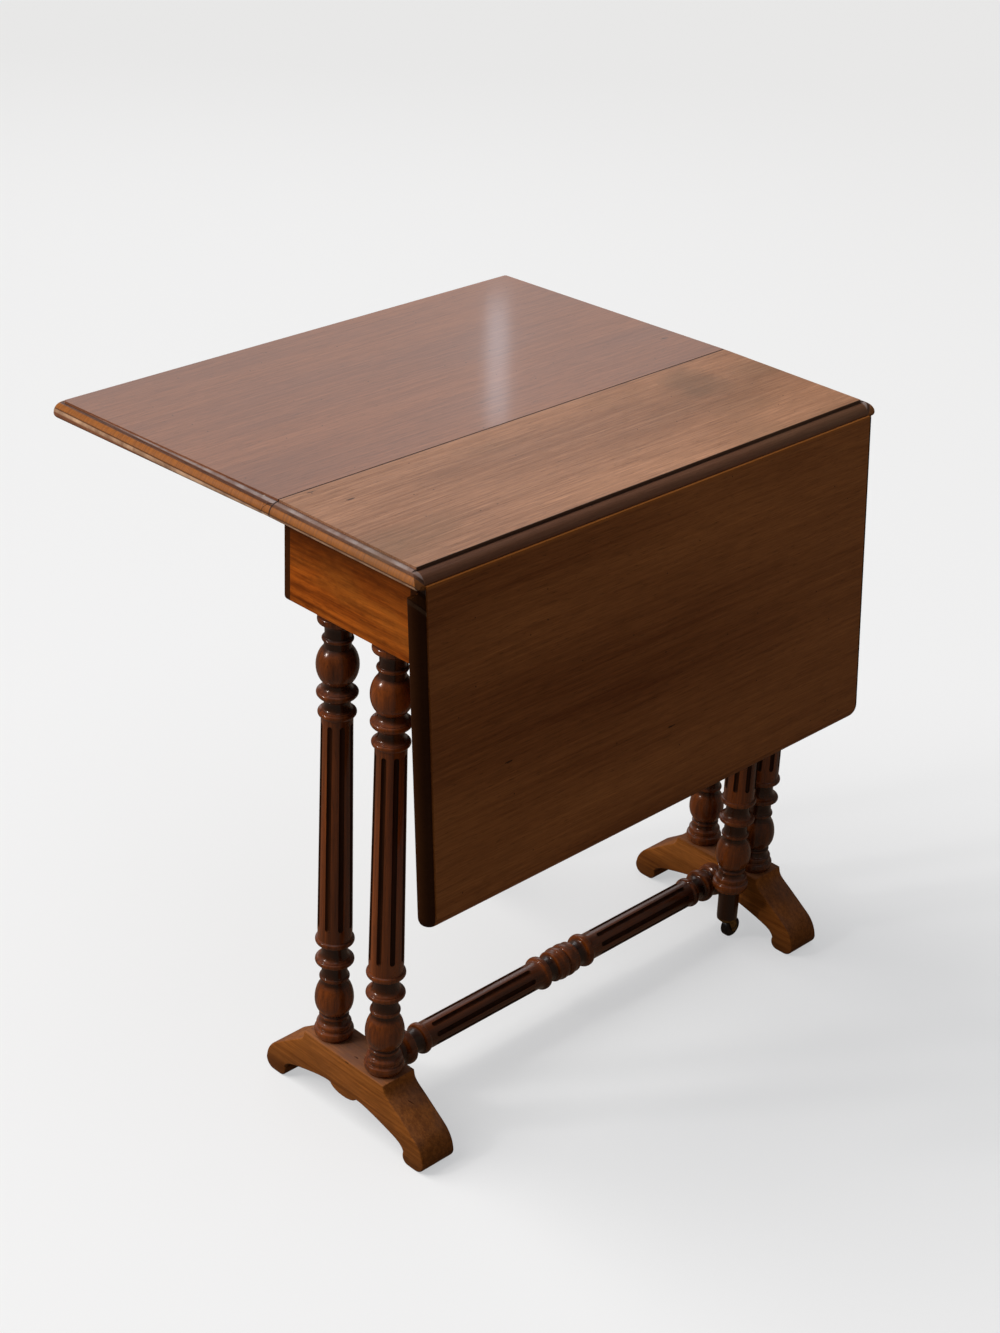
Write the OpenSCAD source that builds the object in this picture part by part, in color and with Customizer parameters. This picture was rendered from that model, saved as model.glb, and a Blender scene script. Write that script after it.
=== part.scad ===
// Small drop-leaf side table of the kind with a narrow fixed top, two deep leaves,
// twin turned and fluted columns on shaped trestle feet, and a swing leg under each leaf.
// It is drawn as it stands in the photograph: the left leaf up on its swung leg,
// the right leaf hanging, the right leg folded in. X runs across, Y along, Z up.

/* [Top] */
// Height of the top above the floor
table_h = 710; // [660:1:760]
// Thickness of the top boards
top_t = 17; // [16:0.5:20]
// Length of the flat field of the top, between its end mouldings
field_l = 669; // [600:1:760]
// Width of the fixed centre board, between the two leaf joints
centre_w = 200; // [196:1:240]
// Width of a leaf's flat field, from its joint to its moulding
leaf_field_w = 360.5; // [300:0.5:400]
// Reach of the edge moulding past the flat field
edge_reach = 12.5; // [10:0.5:14]
// Depth of the small step between the field and the moulding
edge_step_d = 2; // [1:0.5:3]
// Plan radius of a leaf's outer corners
leaf_corner_r = 15.5; // [15:0.5:24]

/* [Leaf joint] */
// Radius of the rounded edge that the leaf rolls over
rule_r = 12; // [11:0.5:12.5]
// Depth of the square step above that rounded edge
rule_step_d = 3.5; // [2.5:0.25:4]
// Running gap between the rounded edge and the leaf's hollow
rule_gap = 0.5; // [0.3:0.1:1]
// Angle of the raised leaf below level, resting on its leg
left_drop = 1.4; // [0.5:0.1:2]
// Angle of the hanging leaf below level
right_drop = 85.5; // [80:0.5:88]

/* [Frame] */
// Depth of the rails under the top
rail_h = 91; // [80:1:110]
// Width across the outer faces of the side rails
frame_w = 193; // [188:1:194]
// Thickness of an outer side rail
side_rail_t = 20.5; // [18:0.5:22]
// Thickness of an inner long rail
inner_rail_t = 17; // [14:0.5:20]
// Depth of an inner long rail
inner_rail_h = 43; // [35:1:44]
// Distance of an end rail's outer face from the end of the flat field
end_inset = 4.5; // [3:0.5:8]
// Thickness of an end rail
end_rail_t = 39; // [36:0.5:40]
// Visible width of a side rail's end beside the end rail
rail_end_w = 8.5; // [6:0.5:12]

/* [Trestles] */
// Distance of a column's axis from the middle plane
column_x = 41; // [38:0.5:44]
// Largest radius of the turnings
turn_r = 22; // [20:0.1:22.5]
// Radius of the narrow necks of the turnings
neck_r = 13.8; // [12:0.1:14.5]
// Radius of the fluted shaft at its top
shaft_top_r = 16.7; // [16:0.1:18]
// Radius of the fluted shaft at its foot
shaft_foot_r = 19; // [18:0.1:20]
// Height of the turned band above the shaft
upper_band_h = 126; // [110:1:140]
// Height of the turned band below the shaft
lower_band_h = 140; // [125:1:150]
// Number of flutes round a column, a leg or the stretcher
flute_count = 8; // [6:1:10]
// Radius of a flute's hollow
flute_r = 3.2; // [2.5:0.1:3.5]
// Length of a trestle foot
foot_l = 260; // [240:1:300]
// Height of a trestle foot
foot_h = 82; // [76:1:90]
// Thickness of a trestle foot
foot_t = 46; // [44:1:48]
// Height of the arch between the pads of a foot
arch_h = 24; // [18:1:28]

/* [Stretcher] */
// Height of the stretcher's axis
stretcher_z = 53; // [50:1:56]
// Radius of the stretcher's fluted shaft
stretcher_r = 16.2; // [15:0.1:17]
// Distance by which the stretcher's turning lies off its middle, towards the far foot
stretcher_shift = 8.5; // [0:0.5:10]

/* [Swing legs] */
// Distance of a folded leg's axis from the middle plane
leg_x = 46; // [44:0.5:48]
// Gap between a folded leg's turning and the trestle foot
leg_gap = 4; // [4:0.5:12]
// Distance of a leg's pivot from the middle of the table's length
pivot_y = 60; // [40:1:80]
// Angle by which the left leg is swung out
left_swing = 90; // [60:1:90]
// Radius of the plain peg below a leg's turning
peg_r = 13; // [12:0.5:14]
// Height of a castor from the floor to its plate
castor_h = 31; // [31:0.5:34]
// Radius of a castor's wheel
wheel_r = 13; // [11:0.5:13]
// Width of a castor's wheel
wheel_w = 11; // [9:0.5:12]
// Distance of a wheel's axle from its swivel
castor_trail = 8; // [4:0.5:10]
// Angle at which a castor stands turned, from across a folded leg
castor_turn = 90; // [0:15:360]

/* [Hardware] */
// Length of a hinge along the joint
hinge_l = 36; // [30:1:44]
// Distance of the hinges from the middle of the table's length
hinge_y = 210; // [180:1:240]
// Thickness of a hinge flap
flap_t = 1.5; // [1.2:0.1:1.5]
// Length of a fixed flap
fixed_flap_w = 28; // [22:1:30]
// Length of a leaf's flap
leaf_flap_w = 40; // [34:1:48]
// Radius of a hinge barrel
barrel_r = 2.8; // [2.4:0.1:3]
// Radius of a hinge pin
hinge_pin_r = 1.2; // [1:0.1:1.4]
// Radius of the pin in a wooden knuckle joint
knuckle_pin_r = 3; // [2:0.1:4]
// Radius of a screw's shank
screw_r = 1.9; // [1.5:0.1:2.2]

/* [Hidden] */
$fn = 64;

// Clearances and overruns
fit = 0.05;          // a pin, tenon or screw in its hole
face_gap = 0.6;      // between faces that pass each other
seat_gap = 0.3;      // between the raised leaf and the rail under it
groove_gap = 0.3;    // round a hinge barrel
knuckle_gap = 0.3;   // between the knuckles of a wooden joint
horn_gap = 0.3;      // between a castor's turning parts
overrun = 1;         // how far a cut passes through
arc_lap = 0.05;      // by which an arc crosses the line it runs into

// Colours
top_colour = "#a07d69";
leaf_colour = "#8f6a55";
rail_colour = "#8c4614";
turned_colour = "#4a2412";
foot_colour = "#78491f";
brass_colour = "#a08246";
steel_colour = "#6e6a66";
wheel_colour = "#1c1a19";

// Places that several pieces share
seam_x = centre_w / 2;
under_z = table_h - top_t;
hinge_z = table_h - rule_step_d - rule_r;
rail_z = under_z - rail_h;
frame_x = frame_w / 2;
rail_x = frame_x - side_rail_t;
tongue_x = frame_x - rail_end_w;
tongue_l = rail_end_w * 1.4;
frame_y = field_l / 2 - end_inset;
end_rail_y = frame_y - end_rail_t;
column_y = frame_y - foot_t / 2;
// The origin lies on the floor, under the middle of the table as it stands
left_extent = seam_x + (leaf_field_w + edge_reach) * cos(left_drop);
right_extent = seam_x + leaf_field_w * cos(right_drop) + (table_h - hinge_z) * sin(right_drop);
stand_x = (left_extent - right_extent) / 2;

// The edge moulding, a rounded nosing under a small step
step_in = edge_reach * 0.08;
nosing_r = edge_reach - step_in;
under_r = top_t - edge_step_d - nosing_r;
corner_field_r = leaf_corner_r - edge_reach;

// Turned bands: height in the band, radius, and tube radius of each round member.
// Heights are shares of the band, radii shares of the largest radius.
upper_rings_shares = [[0.064, 0.955, 0.305], [0.243, 0.74, 0.265], [0.722, 1, 0.375], [0.91, 0.925, 0.375]];
lower_rings_shares = [[0.046, 1, 0.295], [0.104, 0.905, 0.40], [0.179, 0.745, 0.16], [0.583, 0.745, 0.265],
                      [0.723, 0.955, 0.49], [0.933, 0.955, 0.42]];
// Bulbs: height in the band, radius, and how far the arc's centre lies past the axis
upper_bulb_share = [0.483, 0.985, 0.27];
lower_bulb_share = [0.353, 0.925, 0.57];

// Columns
column_h = rail_z - foot_h;
flute_out = flute_r * 0.375;
flute_inset = flute_r * 1.2;
tenon_r = turn_r * 0.45;
tenon_l = foot_h * 0.32;

// Feet: a hollow falls from the flat top to a straight slope, which a round toe ends.
// The slope's ends are shares of half the length and of the height. Both arcs cross the
// slope by a hair, and the toe's arc is cut flat where it passes the foot's end.
foot_x = foot_l / 2;
block_x = foot_x * 0.5;
slope_top = [foot_x * 0.654, foot_h * 0.727];
slope_end = [foot_x * 0.877, foot_h * 0.482];
slope_normal = [slope_top[1] - slope_end[1], slope_end[0] - slope_top[0]] / norm(slope_end - slope_top);
hollow_start = slope_top - [block_x, foot_h];
hollow_r = -(hollow_start * hollow_start) / (2 * (slope_normal * hollow_start));
hollow_centre = slope_top + (hollow_r - arc_lap) * slope_normal;
toe_flat = arc_lap * 4;
toe_r = (foot_x + toe_flat - slope_end[0]) / (1 - slope_normal[0]);
toe_centre = slope_end - (toe_r - arc_lap) * slope_normal;
pad_x = foot_x * 0.775;
pad_inner_r = 8;
pad_outer_r = 6;
arch_r = arch_h * 0.6;
scallop_x_share = 0.21;
scallop_r = arch_h * 0.875;
scallop_rise = arch_h * 0.31;

// Stretcher: places as shares of the half length, radii and tube radii as shares of the largest radius
stretcher_half = column_y - foot_t / 2;
stretcher_rings_shares = [[0.041, 0.905, 0.485], [0.134, 0.915, 0.45], [0.788, 0.825, 0.365],
                          [0.875, 0.935, 0.505], [0.965, 0.935, 0.505]];
stretcher_neck_share = 0.7;
stretcher_shaft_share = [0.15, 0.8];
stretcher_flute_share = [0.195, 0.745];
stretcher_tenon_r = stretcher_r * 0.5;
stretcher_tenon_l = foot_t * 0.5;

// Swing legs: a folded leg stands as near the foot as its turning allows, and no nearer
// than lets its castor's wheel pass the foot as the leg swings
fly_x = rail_x + face_gap;
pivot_x = (fly_x + frame_x) / 2;
swing_reach = stretcher_half - pivot_y - castor_trail - wheel_r - face_gap;
swing_y = pivot_y + sqrt(swing_reach * swing_reach - (pivot_x - leg_x) * (pivot_x - leg_x));
leg_y = min(stretcher_half - turn_r - leg_gap, swing_y);
knuckle_r = (frame_x - fly_x) / 2;
knuckle_reach = knuckle_r + face_gap;
leg_span = norm([pivot_x - leg_x, leg_y - pivot_y]);
fly_end_y = leg_y + turn_r;
fly_rest = seam_x - pivot_x;
fly_top = hinge_z - (top_t - rule_step_d - rule_r) * cos(left_drop)
    - (fly_end_y - pivot_y - fly_rest) * sin(left_drop) - seat_gap;
fly_z = rail_z + face_gap;
knuckle_count = 5;
knuckle_h = (fly_top - fly_z) / knuckle_count;
stub_y = pivot_y + leg_span + turn_r + 2 * face_gap;
leg_drop = foot_h * 0.1;
leg_head_z = under_z - inner_rail_h - face_gap * 3;
leg_turn_z = rail_z - leg_drop;
leg_head_r = turn_r;
leg_arm_w = turn_r * 1.34;
leg_arm_z = rail_z + face_gap * 4;
peg_z = leg_turn_z - column_h;

// Castors
plate_t = castor_h * 0.07;
plate_r = peg_r * 0.94;
socket_stem_r = peg_r * 0.42;
socket_stem_l = peg_z * 0.36;
swivel_r = socket_stem_r * 0.55;
horn_t = plate_t;
horn_r = peg_r * 0.75;
cheek_t = wheel_w * 0.17;
cheek_w = wheel_r * 0.7;
axle_r = wheel_r * 0.15;

// Rails and small parts
rail_edge_r = side_rail_t * 0.17;
block_side = inner_rail_t * 1.2;
block_l = block_side * 2;
block_y = hinge_y * 0.7;
screw_head_r = screw_r * 2;
screw_head_h = screw_r * 1.1;
block_screw_l = block_side + top_t * 0.5;
leg_screw_l = side_rail_t + leg_arm_w * 0.6;
flap_screw_l = top_t * 0.6;
leg_screw_rise_share = [0.3, 0.75];
flap_screw_y = hinge_l * 0.3;
hinge_split = hinge_l / 3;

// Placing helpers

// Moves what is drawn round the frame's middle plane to the table's own origin
module placed() {
    translate([stand_x, 0, 0]) children();
}

module on_left() {
    mirror([1, 0, 0]) children();
}

module at_ends() {
    for (side = [0, 1]) mirror([0, side, 0]) children();
}

// Turns what is drawn on a level right leaf down about the leaf's joint
module dropped(angle) {
    translate([seam_x, 0, hinge_z]) rotate([0, angle, 0])
        translate([-seam_x, 0, -hinge_z]) children();
}

// Swings what is drawn on a folded right leg out about its pivot
module swung(angle) {
    translate([pivot_x, pivot_y, 0]) rotate([0, 0, -angle])
        translate([-pivot_x, -pivot_y, 0]) children();
}

// Shared shapes

// A countersunk screw whose head is flush at the origin and whose shank runs up Z
module screw(shank, gap = 0) {
    rotate_extrude() polygon([[0, -(gap > 0 ? overrun : 0)], [screw_head_r + gap, -(gap > 0 ? overrun : 0)],
        [screw_head_r + gap, 0], [screw_r + gap, screw_head_h], [screw_r + gap, shank], [0, shank + gap]]);
}

// One flute's hollow, a round-ended rod along Z from the origin
module flute_rod(run) {
    rotate_extrude() {
        translate([0, flute_r]) square([flute_r, run - 2 * flute_r]);
        for (end = [flute_r, run - flute_r]) translate([0, end]) intersection() {
            circle(flute_r);
            translate([0, -flute_r]) square([flute_r, 2 * flute_r]);
        }
    }
}

// Flutes round a shaft that goes from radius r0 at height z0 to radius r1 at height z1
module flutes(z0, z1, r0, r1) {
    lean = atan((r1 - r0) / (z1 - z0));
    for (i = [0 : flute_count - 1]) rotate([0, 0, (i + 0.5) * 360 / flute_count])
        translate([r0 + flute_out, 0, z0]) rotate([0, lean, 0]) flute_rod((z1 - z0) / cos(lean));
}

// Half section of the round members of one turned band, on the right of the axis
module band_section(rings, run) {
    for (ring = rings)
        translate([turn_r * (ring[1] - ring[2]), run * ring[0]]) circle(turn_r * ring[2]);
}

module bulb_section(bulb, run) {
    translate([0, run * bulb[0]]) intersection() {
        translate([-turn_r * bulb[2], 0]) circle(turn_r * (bulb[1] + bulb[2]));
        translate([0, -run]) square([turn_r, 2 * run]);
    }
}

// Half section of a column's turning, from its base ring to the ring under the rail
module turning_section() {
    upper_z = column_h - upper_band_h;
    intersection() {
        union() {
            square([neck_r, column_h]);
            band_section(lower_rings_shares, lower_band_h);
            bulb_section(lower_bulb_share, lower_band_h);
            translate([0, column_h]) mirror([0, 1]) {
                band_section(upper_rings_shares, upper_band_h);
                bulb_section(upper_bulb_share, upper_band_h);
            }
            polygon([[0, lower_band_h * 0.95], [shaft_foot_r, lower_band_h * 0.95],
                [shaft_top_r, upper_z], [0, upper_z]]);
        }
        square([turn_r * 1.1, column_h]);
    }
}

// A fluted turning that stands on the origin
module turning() {
    difference() {
        rotate_extrude() turning_section();
        flutes(lower_band_h + flute_inset, column_h - upper_band_h, shaft_foot_r, shaft_top_r);
    }
}

// Section of the edge moulding: X outward from the field, Y up from the under side
module edge_section(inner) {
    nosing_z = under_r;
    translate([-inner, 0]) square([inner, top_t]);
    square([edge_reach - under_r, nosing_z]);
    translate([0, nosing_z]) square([step_in, nosing_r]);
    intersection() {
        translate([step_in, nosing_z]) circle(nosing_r);
        translate([step_in / 2, nosing_z]) square([edge_reach, nosing_r]);
    }
    intersection() {
        translate([edge_reach - under_r, nosing_z]) circle(under_r);
        translate([step_in, 0]) square([edge_reach, nosing_z]);
    }
}

// Top boards

// Room for one hinge under the centre board
module hinge_room() {
    room_l = hinge_l + face_gap;
    translate([seam_x - fixed_flap_w - fit, -room_l / 2, under_z - overrun])
        cube([fixed_flap_w, room_l, flap_t + overrun]);
    translate([seam_x - barrel_r - groove_gap, -room_l / 2, under_z - overrun])
        cube([barrel_r + groove_gap + rule_r + overrun, room_l, hinge_z - under_z + groove_gap + overrun]);
    translate([seam_x, room_l / 2, hinge_z]) rotate([90, 0, 0])
        cylinder(h = room_l, r = barrel_r + groove_gap);
}

module centre_section() {
    for (side = [0, 1]) mirror([side, 0]) {
        square([seam_x, top_t]);
        square([seam_x + rule_r, hinge_z - under_z]);
        intersection() {
            translate([seam_x, hinge_z - under_z]) circle(rule_r);
            translate([seam_x - rule_r, hinge_z - under_z]) square([2 * rule_r, rule_r]);
        }
    }
}

module centre_top() {
    color(top_colour) difference() {
        intersection() {
            translate([0, 0, under_z]) rotate([90, 0, 0])
                linear_extrude(field_l + 4 * edge_reach, center = true) centre_section();
            translate([0, 0, under_z]) rotate([90, 0, 90])
                linear_extrude(centre_w + 4 * rule_r, center = true)
                    for (end = [0, 1]) mirror([end, 0])
                        translate([field_l / 2, 0]) edge_section(field_l / 2);
        }
        for (side = [0, 1]) mirror([side, 0, 0]) for (y = [-hinge_y, hinge_y]) translate([0, y, 0]) {
            hinge_room();
            fixed_screw_places() screw(flap_screw_l, fit);
        }
        block_screw_places() screw(block_screw_l, fit);
    }
}

// A leaf, level, on the right
module leaf() {
    start_x = seam_x + rule_gap;
    field_x = seam_x + leaf_field_w;
    corner_x = field_x - corner_field_r;
    corner_y = field_l / 2 - corner_field_r;
    difference() {
        union() {
            translate([start_x, -field_l / 2, under_z])
                cube([corner_x - start_x, field_l, top_t]);
            translate([start_x, -corner_y, under_z]) cube([field_x - start_x, 2 * corner_y, top_t]);
            translate([field_x, 0, under_z]) rotate([90, 0, 0])
                linear_extrude(2 * corner_y, center = true) edge_section(corner_field_r / 2);
            at_ends() {
                translate([start_x, field_l / 2, under_z]) rotate([90, 0, 90])
                    linear_extrude(corner_x - start_x) edge_section(corner_field_r / 2);
                translate([corner_x, corner_y, under_z]) rotate_extrude(angle = 90) {
                    square([corner_field_r, top_t]);
                    translate([corner_field_r, 0]) edge_section(corner_field_r / 2);
                }
            }
        }
        translate([seam_x, 0, hinge_z]) rotate([90, 0, 0])
            cylinder(h = field_l + 4 * edge_reach, r = rule_r + rule_gap, center = true);
        for (y = [-hinge_y, hinge_y]) translate([0, y, 0]) {
            translate([seam_x, -hinge_l / 2 - fit, under_z - overrun])
                cube([leaf_flap_w + fit, hinge_l + 2 * fit, flap_t + overrun]);
            leaf_screw_places() screw(flap_screw_l, fit);
        }
    }
}

module left_leaf() {
    color(leaf_colour) on_left() dropped(left_drop) leaf();
}

module right_leaf() {
    color(leaf_colour) dropped(right_drop) leaf();
}

// Hinges, each drawn at the middle of the table's length, on the right and level

module barrel(from_y, to_y) {
    translate([seam_x, to_y, hinge_z]) rotate([90, 0, 0])
        cylinder(h = to_y - from_y, r = barrel_r);
}

module hinge_bore() {
    translate([seam_x, hinge_l / 2 + overrun, hinge_z]) rotate([90, 0, 0])
        cylinder(h = hinge_l + 2 * overrun, r = hinge_pin_r + fit);
}

// Clears the other flap's barrels out of a flap
module barrel_room(from_y, to_y) {
    translate([seam_x, to_y, hinge_z]) rotate([90, 0, 0])
        cylinder(h = to_y - from_y, r = barrel_r + groove_gap);
}

module fixed_screw_places() {
    for (y = [-flap_screw_y, flap_screw_y]) for (share = [0.35, 0.75])
        translate([seam_x - fixed_flap_w * share, y, under_z]) children();
}

module leaf_screw_places() {
    for (y = [-flap_screw_y, flap_screw_y]) for (share = [0.5, 0.85])
        translate([seam_x + leaf_flap_w * share, y, under_z]) children();
}

module fixed_flap() {
    half_split = hinge_split / 2;
    color(brass_colour) difference() {
        union() {
            translate([seam_x - fixed_flap_w, -hinge_l / 2, under_z]) cube([fixed_flap_w, hinge_l, flap_t]);
            at_ends() barrel(half_split + fit, hinge_l / 2);
        }
        barrel_room(-half_split - fit, half_split + fit);
        translate([seam_x, -half_split - fit, under_z - overrun])
            cube([barrel_r, hinge_split + 2 * fit, flap_t + 2 * overrun]);
        hinge_bore();
        fixed_screw_places() screw(flap_screw_l, fit);
    }
}

module leaf_flap() {
    half_split = hinge_split / 2;
    color(brass_colour) difference() {
        union() {
            translate([seam_x, -hinge_l / 2, under_z]) cube([leaf_flap_w, hinge_l, flap_t]);
            barrel(-half_split + fit, half_split - fit);
        }
        at_ends() barrel_room(half_split - fit, hinge_l / 2 + overrun);
        hinge_bore();
        leaf_screw_places() screw(flap_screw_l, fit);
    }
}

module hinge_pin() {
    color(steel_colour) translate([seam_x, hinge_l / 2, hinge_z]) rotate([90, 0, 0])
        cylinder(h = hinge_l, r = hinge_pin_r);
}

module near() { translate([0, -hinge_y, 0]) children(); }

module far() { translate([0, hinge_y, 0]) children(); }

module fixed_flap_screws() {
    color(steel_colour) for (side = [0, 1]) mirror([side, 0, 0])
        for (y = [-hinge_y, hinge_y]) translate([0, y, 0]) fixed_screw_places() screw(flap_screw_l);
}

module leaf_flap_screws() {
    color(steel_colour) for (y = [-hinge_y, hinge_y]) translate([0, y, 0])
        leaf_screw_places() screw(flap_screw_l);
}

// Rails and blocks

module end_rail() {
    color(rail_colour) difference() {
        union() {
            translate([-rail_x, end_rail_y, rail_z]) cube([2 * rail_x, end_rail_t, rail_h]);
            translate([-tongue_x, frame_y - tongue_l, rail_z]) cube([2 * tongue_x, tongue_l, rail_h]);
        }
        for (side = [-1, 1]) translate([side * column_x, column_y, rail_z - overrun])
            cylinder(h = tenon_l + fit + overrun, r = tenon_r + fit);
    }
}

// Section of an outer side rail with its lower outer edge rounded, from z0 to z1
module side_rail_section(x0, z0, z1) {
    square_x = frame_x - rail_edge_r;
    translate([x0, z0]) square([square_x - x0, z1 - z0]);
    translate([x0, z0 + rail_edge_r]) square([frame_x - x0, z1 - z0 - rail_edge_r]);
    translate([square_x, z0 + rail_edge_r]) circle(rail_edge_r);
}

// A side rail's board along Y, with the end rail's tongue let into its far end
module side_board(y0, y1) {
    translate([0, y1, 0]) rotate([90, 0, 0]) linear_extrude(y1 - y0)
        side_rail_section(rail_x, rail_z, under_z);
}

module tongue_room() {
    translate([rail_x - overrun, frame_y - tongue_l, rail_z - overrun])
        cube([tongue_x - rail_x + overrun, tongue_l + overrun, rail_h + 2 * overrun]);
}

// The i-th round knuckle of the wooden joint, with its neck towards the board at side_y
module knuckle(i, side_y) {
    z0 = fly_z + i * knuckle_h + (i > 0 ? knuckle_gap : 0);
    z1 = fly_z + (i + 1) * knuckle_h;
    translate([pivot_x, pivot_y, z0]) cylinder(h = z1 - z0, r = knuckle_r);
    translate([fly_x, side_y > 0 ? pivot_y : pivot_y - knuckle_reach - overrun, z0])
        cube([2 * knuckle_r, knuckle_reach + overrun, z1 - z0]);
}

module knuckle_bore() {
    translate([pivot_x, pivot_y, fly_z - overrun])
        cylinder(h = fly_top - fly_z + 2 * overrun, r = knuckle_pin_r + fit);
}

module side_rail() {
    color(rail_colour) difference() {
        union() {
            side_board(-frame_y, pivot_y - knuckle_reach);
            for (i = [0 : 2 : knuckle_count - 1]) knuckle(i, -1);
        }
        mirror([0, 1, 0]) tongue_room();
        knuckle_bore();
    }
}

module rail_stub() {
    color(rail_colour) difference() {
        side_board(stub_y, frame_y);
        tongue_room();
    }
}

module inner_rail() {
    color(rail_colour) translate([rail_x - inner_rail_t, -end_rail_y, under_z - inner_rail_h])
        cube([inner_rail_t, 2 * end_rail_y, inner_rail_h]);
}

module glue_block() {
    color(rail_colour) difference() {
        translate([rail_x - inner_rail_t - block_side, block_y - block_l / 2, under_z - block_side])
            cube([block_side, block_l, block_side]);
        block_screw_places() screw(block_screw_l, fit);
    }
}

module block_screw_places() {
    for (side = [-1, 1]) for (end = [-1, 1])
        translate([side * (rail_x - inner_rail_t - block_side / 2), end * block_y, under_z - block_side])
            children();
}

module block_screws() {
    color(steel_colour) block_screw_places() screw(block_screw_l);
}

// Trestles

module column() {
    color(turned_colour) translate([column_x, column_y, foot_h]) {
        turning();
        translate([0, 0, -tenon_l]) cylinder(h = column_h + 2 * tenon_l, r = tenon_r);
    }
}

// Half outline of a foot, to the right of its middle
module foot_section() {
    toe_x = pad_x + pad_inner_r;
    difference() {
        union() {
            polygon([[0, pad_inner_r], [slope_end[0], pad_inner_r], slope_end, slope_top,
                [slope_top[0], foot_h], [0, foot_h]]);
            intersection() {
                translate(toe_centre) circle(toe_r);
                translate([toe_x, pad_outer_r]) square([foot_x - toe_x, foot_h]);
            }
            translate([toe_x, 0]) square([foot_x - pad_outer_r - toe_x, 2 * pad_outer_r]);
            translate([toe_x, pad_inner_r]) circle(pad_inner_r);
            translate([foot_x - pad_outer_r, pad_outer_r]) circle(pad_outer_r);
        }
        translate(hollow_centre) circle(hollow_r);
        translate([0, -overrun]) square([pad_x, arch_h - arch_r + overrun]);
        translate([0, -overrun]) square([pad_x - arch_r, arch_h + overrun]);
        translate([pad_x - arch_r, arch_h - arch_r]) circle(arch_r);
        translate([foot_x * scallop_x_share, arch_h + scallop_rise - scallop_r]) circle(scallop_r);
    }
}

module foot() {
    color(foot_colour) difference() {
        translate([0, column_y + foot_t / 2, 0]) rotate([90, 0, 0]) linear_extrude(foot_t)
            for (side = [0, 1]) mirror([side, 0]) foot_section();
        for (side = [-1, 1]) translate([side * column_x, column_y, foot_h - tenon_l - fit])
            cylinder(h = tenon_l + overrun, r = tenon_r + fit);
        translate([0, stretcher_half - overrun, stretcher_z]) rotate([-90, 0, 0])
            cylinder(h = stretcher_tenon_l + fit + overrun, r = stretcher_tenon_r + fit);
    }
}

// Half section of the stretcher, from the middle of its turning to one foot's face
module stretcher_section(reach) {
    intersection() {
        union() {
            translate([0, -overrun]) square([turn_r * stretcher_neck_share, reach + overrun]);
            translate([0, stretcher_half * stretcher_shaft_share[0]]) square([stretcher_r,
                stretcher_half * (stretcher_shaft_share[1] - stretcher_shaft_share[0])]);
            band_section(stretcher_rings_shares, stretcher_half);
        }
        translate([0, -overrun]) square([turn_r, reach + overrun]);
    }
}

module stretcher() {
    color(turned_colour) translate([0, stretcher_shift, stretcher_z])
        for (end = [0, 1]) mirror([0, end, 0]) rotate([-90, 0, 0]) {
            reach = stretcher_half + stretcher_shift * (2 * end - 1);
            difference() {
                union() {
                    rotate_extrude() stretcher_section(reach);
                    cylinder(h = reach + stretcher_tenon_l, r = stretcher_tenon_r);
                }
                flutes(stretcher_half * stretcher_flute_share[0], stretcher_half * stretcher_flute_share[1],
                    stretcher_r, stretcher_r);
            }
        }
}

// Swing legs, folded, on the right

module fly_rail() {
    color(rail_colour) difference() {
        union() {
            translate([0, fly_end_y, 0]) rotate([90, 0, 0])
                linear_extrude(fly_end_y - pivot_y - knuckle_reach)
                side_rail_section(fly_x, fly_z, fly_top);
            for (i = [1 : 2 : knuckle_count - 1]) knuckle(i, 1);
        }
        knuckle_bore();
        leg_screw_places() screw(leg_screw_l, fit);
    }
}

module leg_screw_places() {
    for (share = leg_screw_rise_share)
        translate([frame_x, leg_y, leg_arm_z + (leg_head_z - leg_arm_z) * share])
            rotate([0, -90, 0]) children();
}

module leg() {
    color(turned_colour) difference() {
        union() {
            translate([leg_x, leg_y, peg_z]) turning();
            translate([leg_x, leg_y, leg_turn_z - overrun])
                cylinder(h = leg_head_z - leg_turn_z + overrun, r = leg_head_r);
            translate([leg_x, leg_y - leg_arm_w / 2, leg_arm_z])
                cube([fly_x - leg_x, leg_arm_w, leg_head_z - leg_arm_z]);
            translate([leg_x, leg_y, castor_h]) cylinder(h = peg_z - castor_h + overrun, r = peg_r);
        }
        translate([leg_x, leg_y, castor_h - overrun])
            cylinder(h = socket_stem_l + fit + overrun, r = socket_stem_r + fit);
        leg_screw_places() screw(leg_screw_l, fit);
    }
}

module leg_screws() {
    color(steel_colour) leg_screw_places() screw(leg_screw_l);
}

module knuckle_pin() {
    color(steel_colour) translate([pivot_x, pivot_y, fly_z])
        cylinder(h = fly_top - fly_z, r = knuckle_pin_r);
}

// Castors

// Stands a castor's turning parts under a folded leg, turned as it rests
module at_castor() {
    translate([leg_x, leg_y, 0]) rotate([0, 0, castor_turn]) children();
}

module castor_socket() {
    color(brass_colour) translate([leg_x, leg_y, castor_h]) difference() {
        union() {
            translate([0, 0, -plate_t]) cylinder(h = plate_t, r = plate_r);
            cylinder(h = socket_stem_l, r = socket_stem_r);
        }
        translate([0, 0, -plate_t - overrun])
            cylinder(h = plate_t + socket_stem_l * 0.8 + overrun, r = swivel_r + fit);
    }
}

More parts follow.
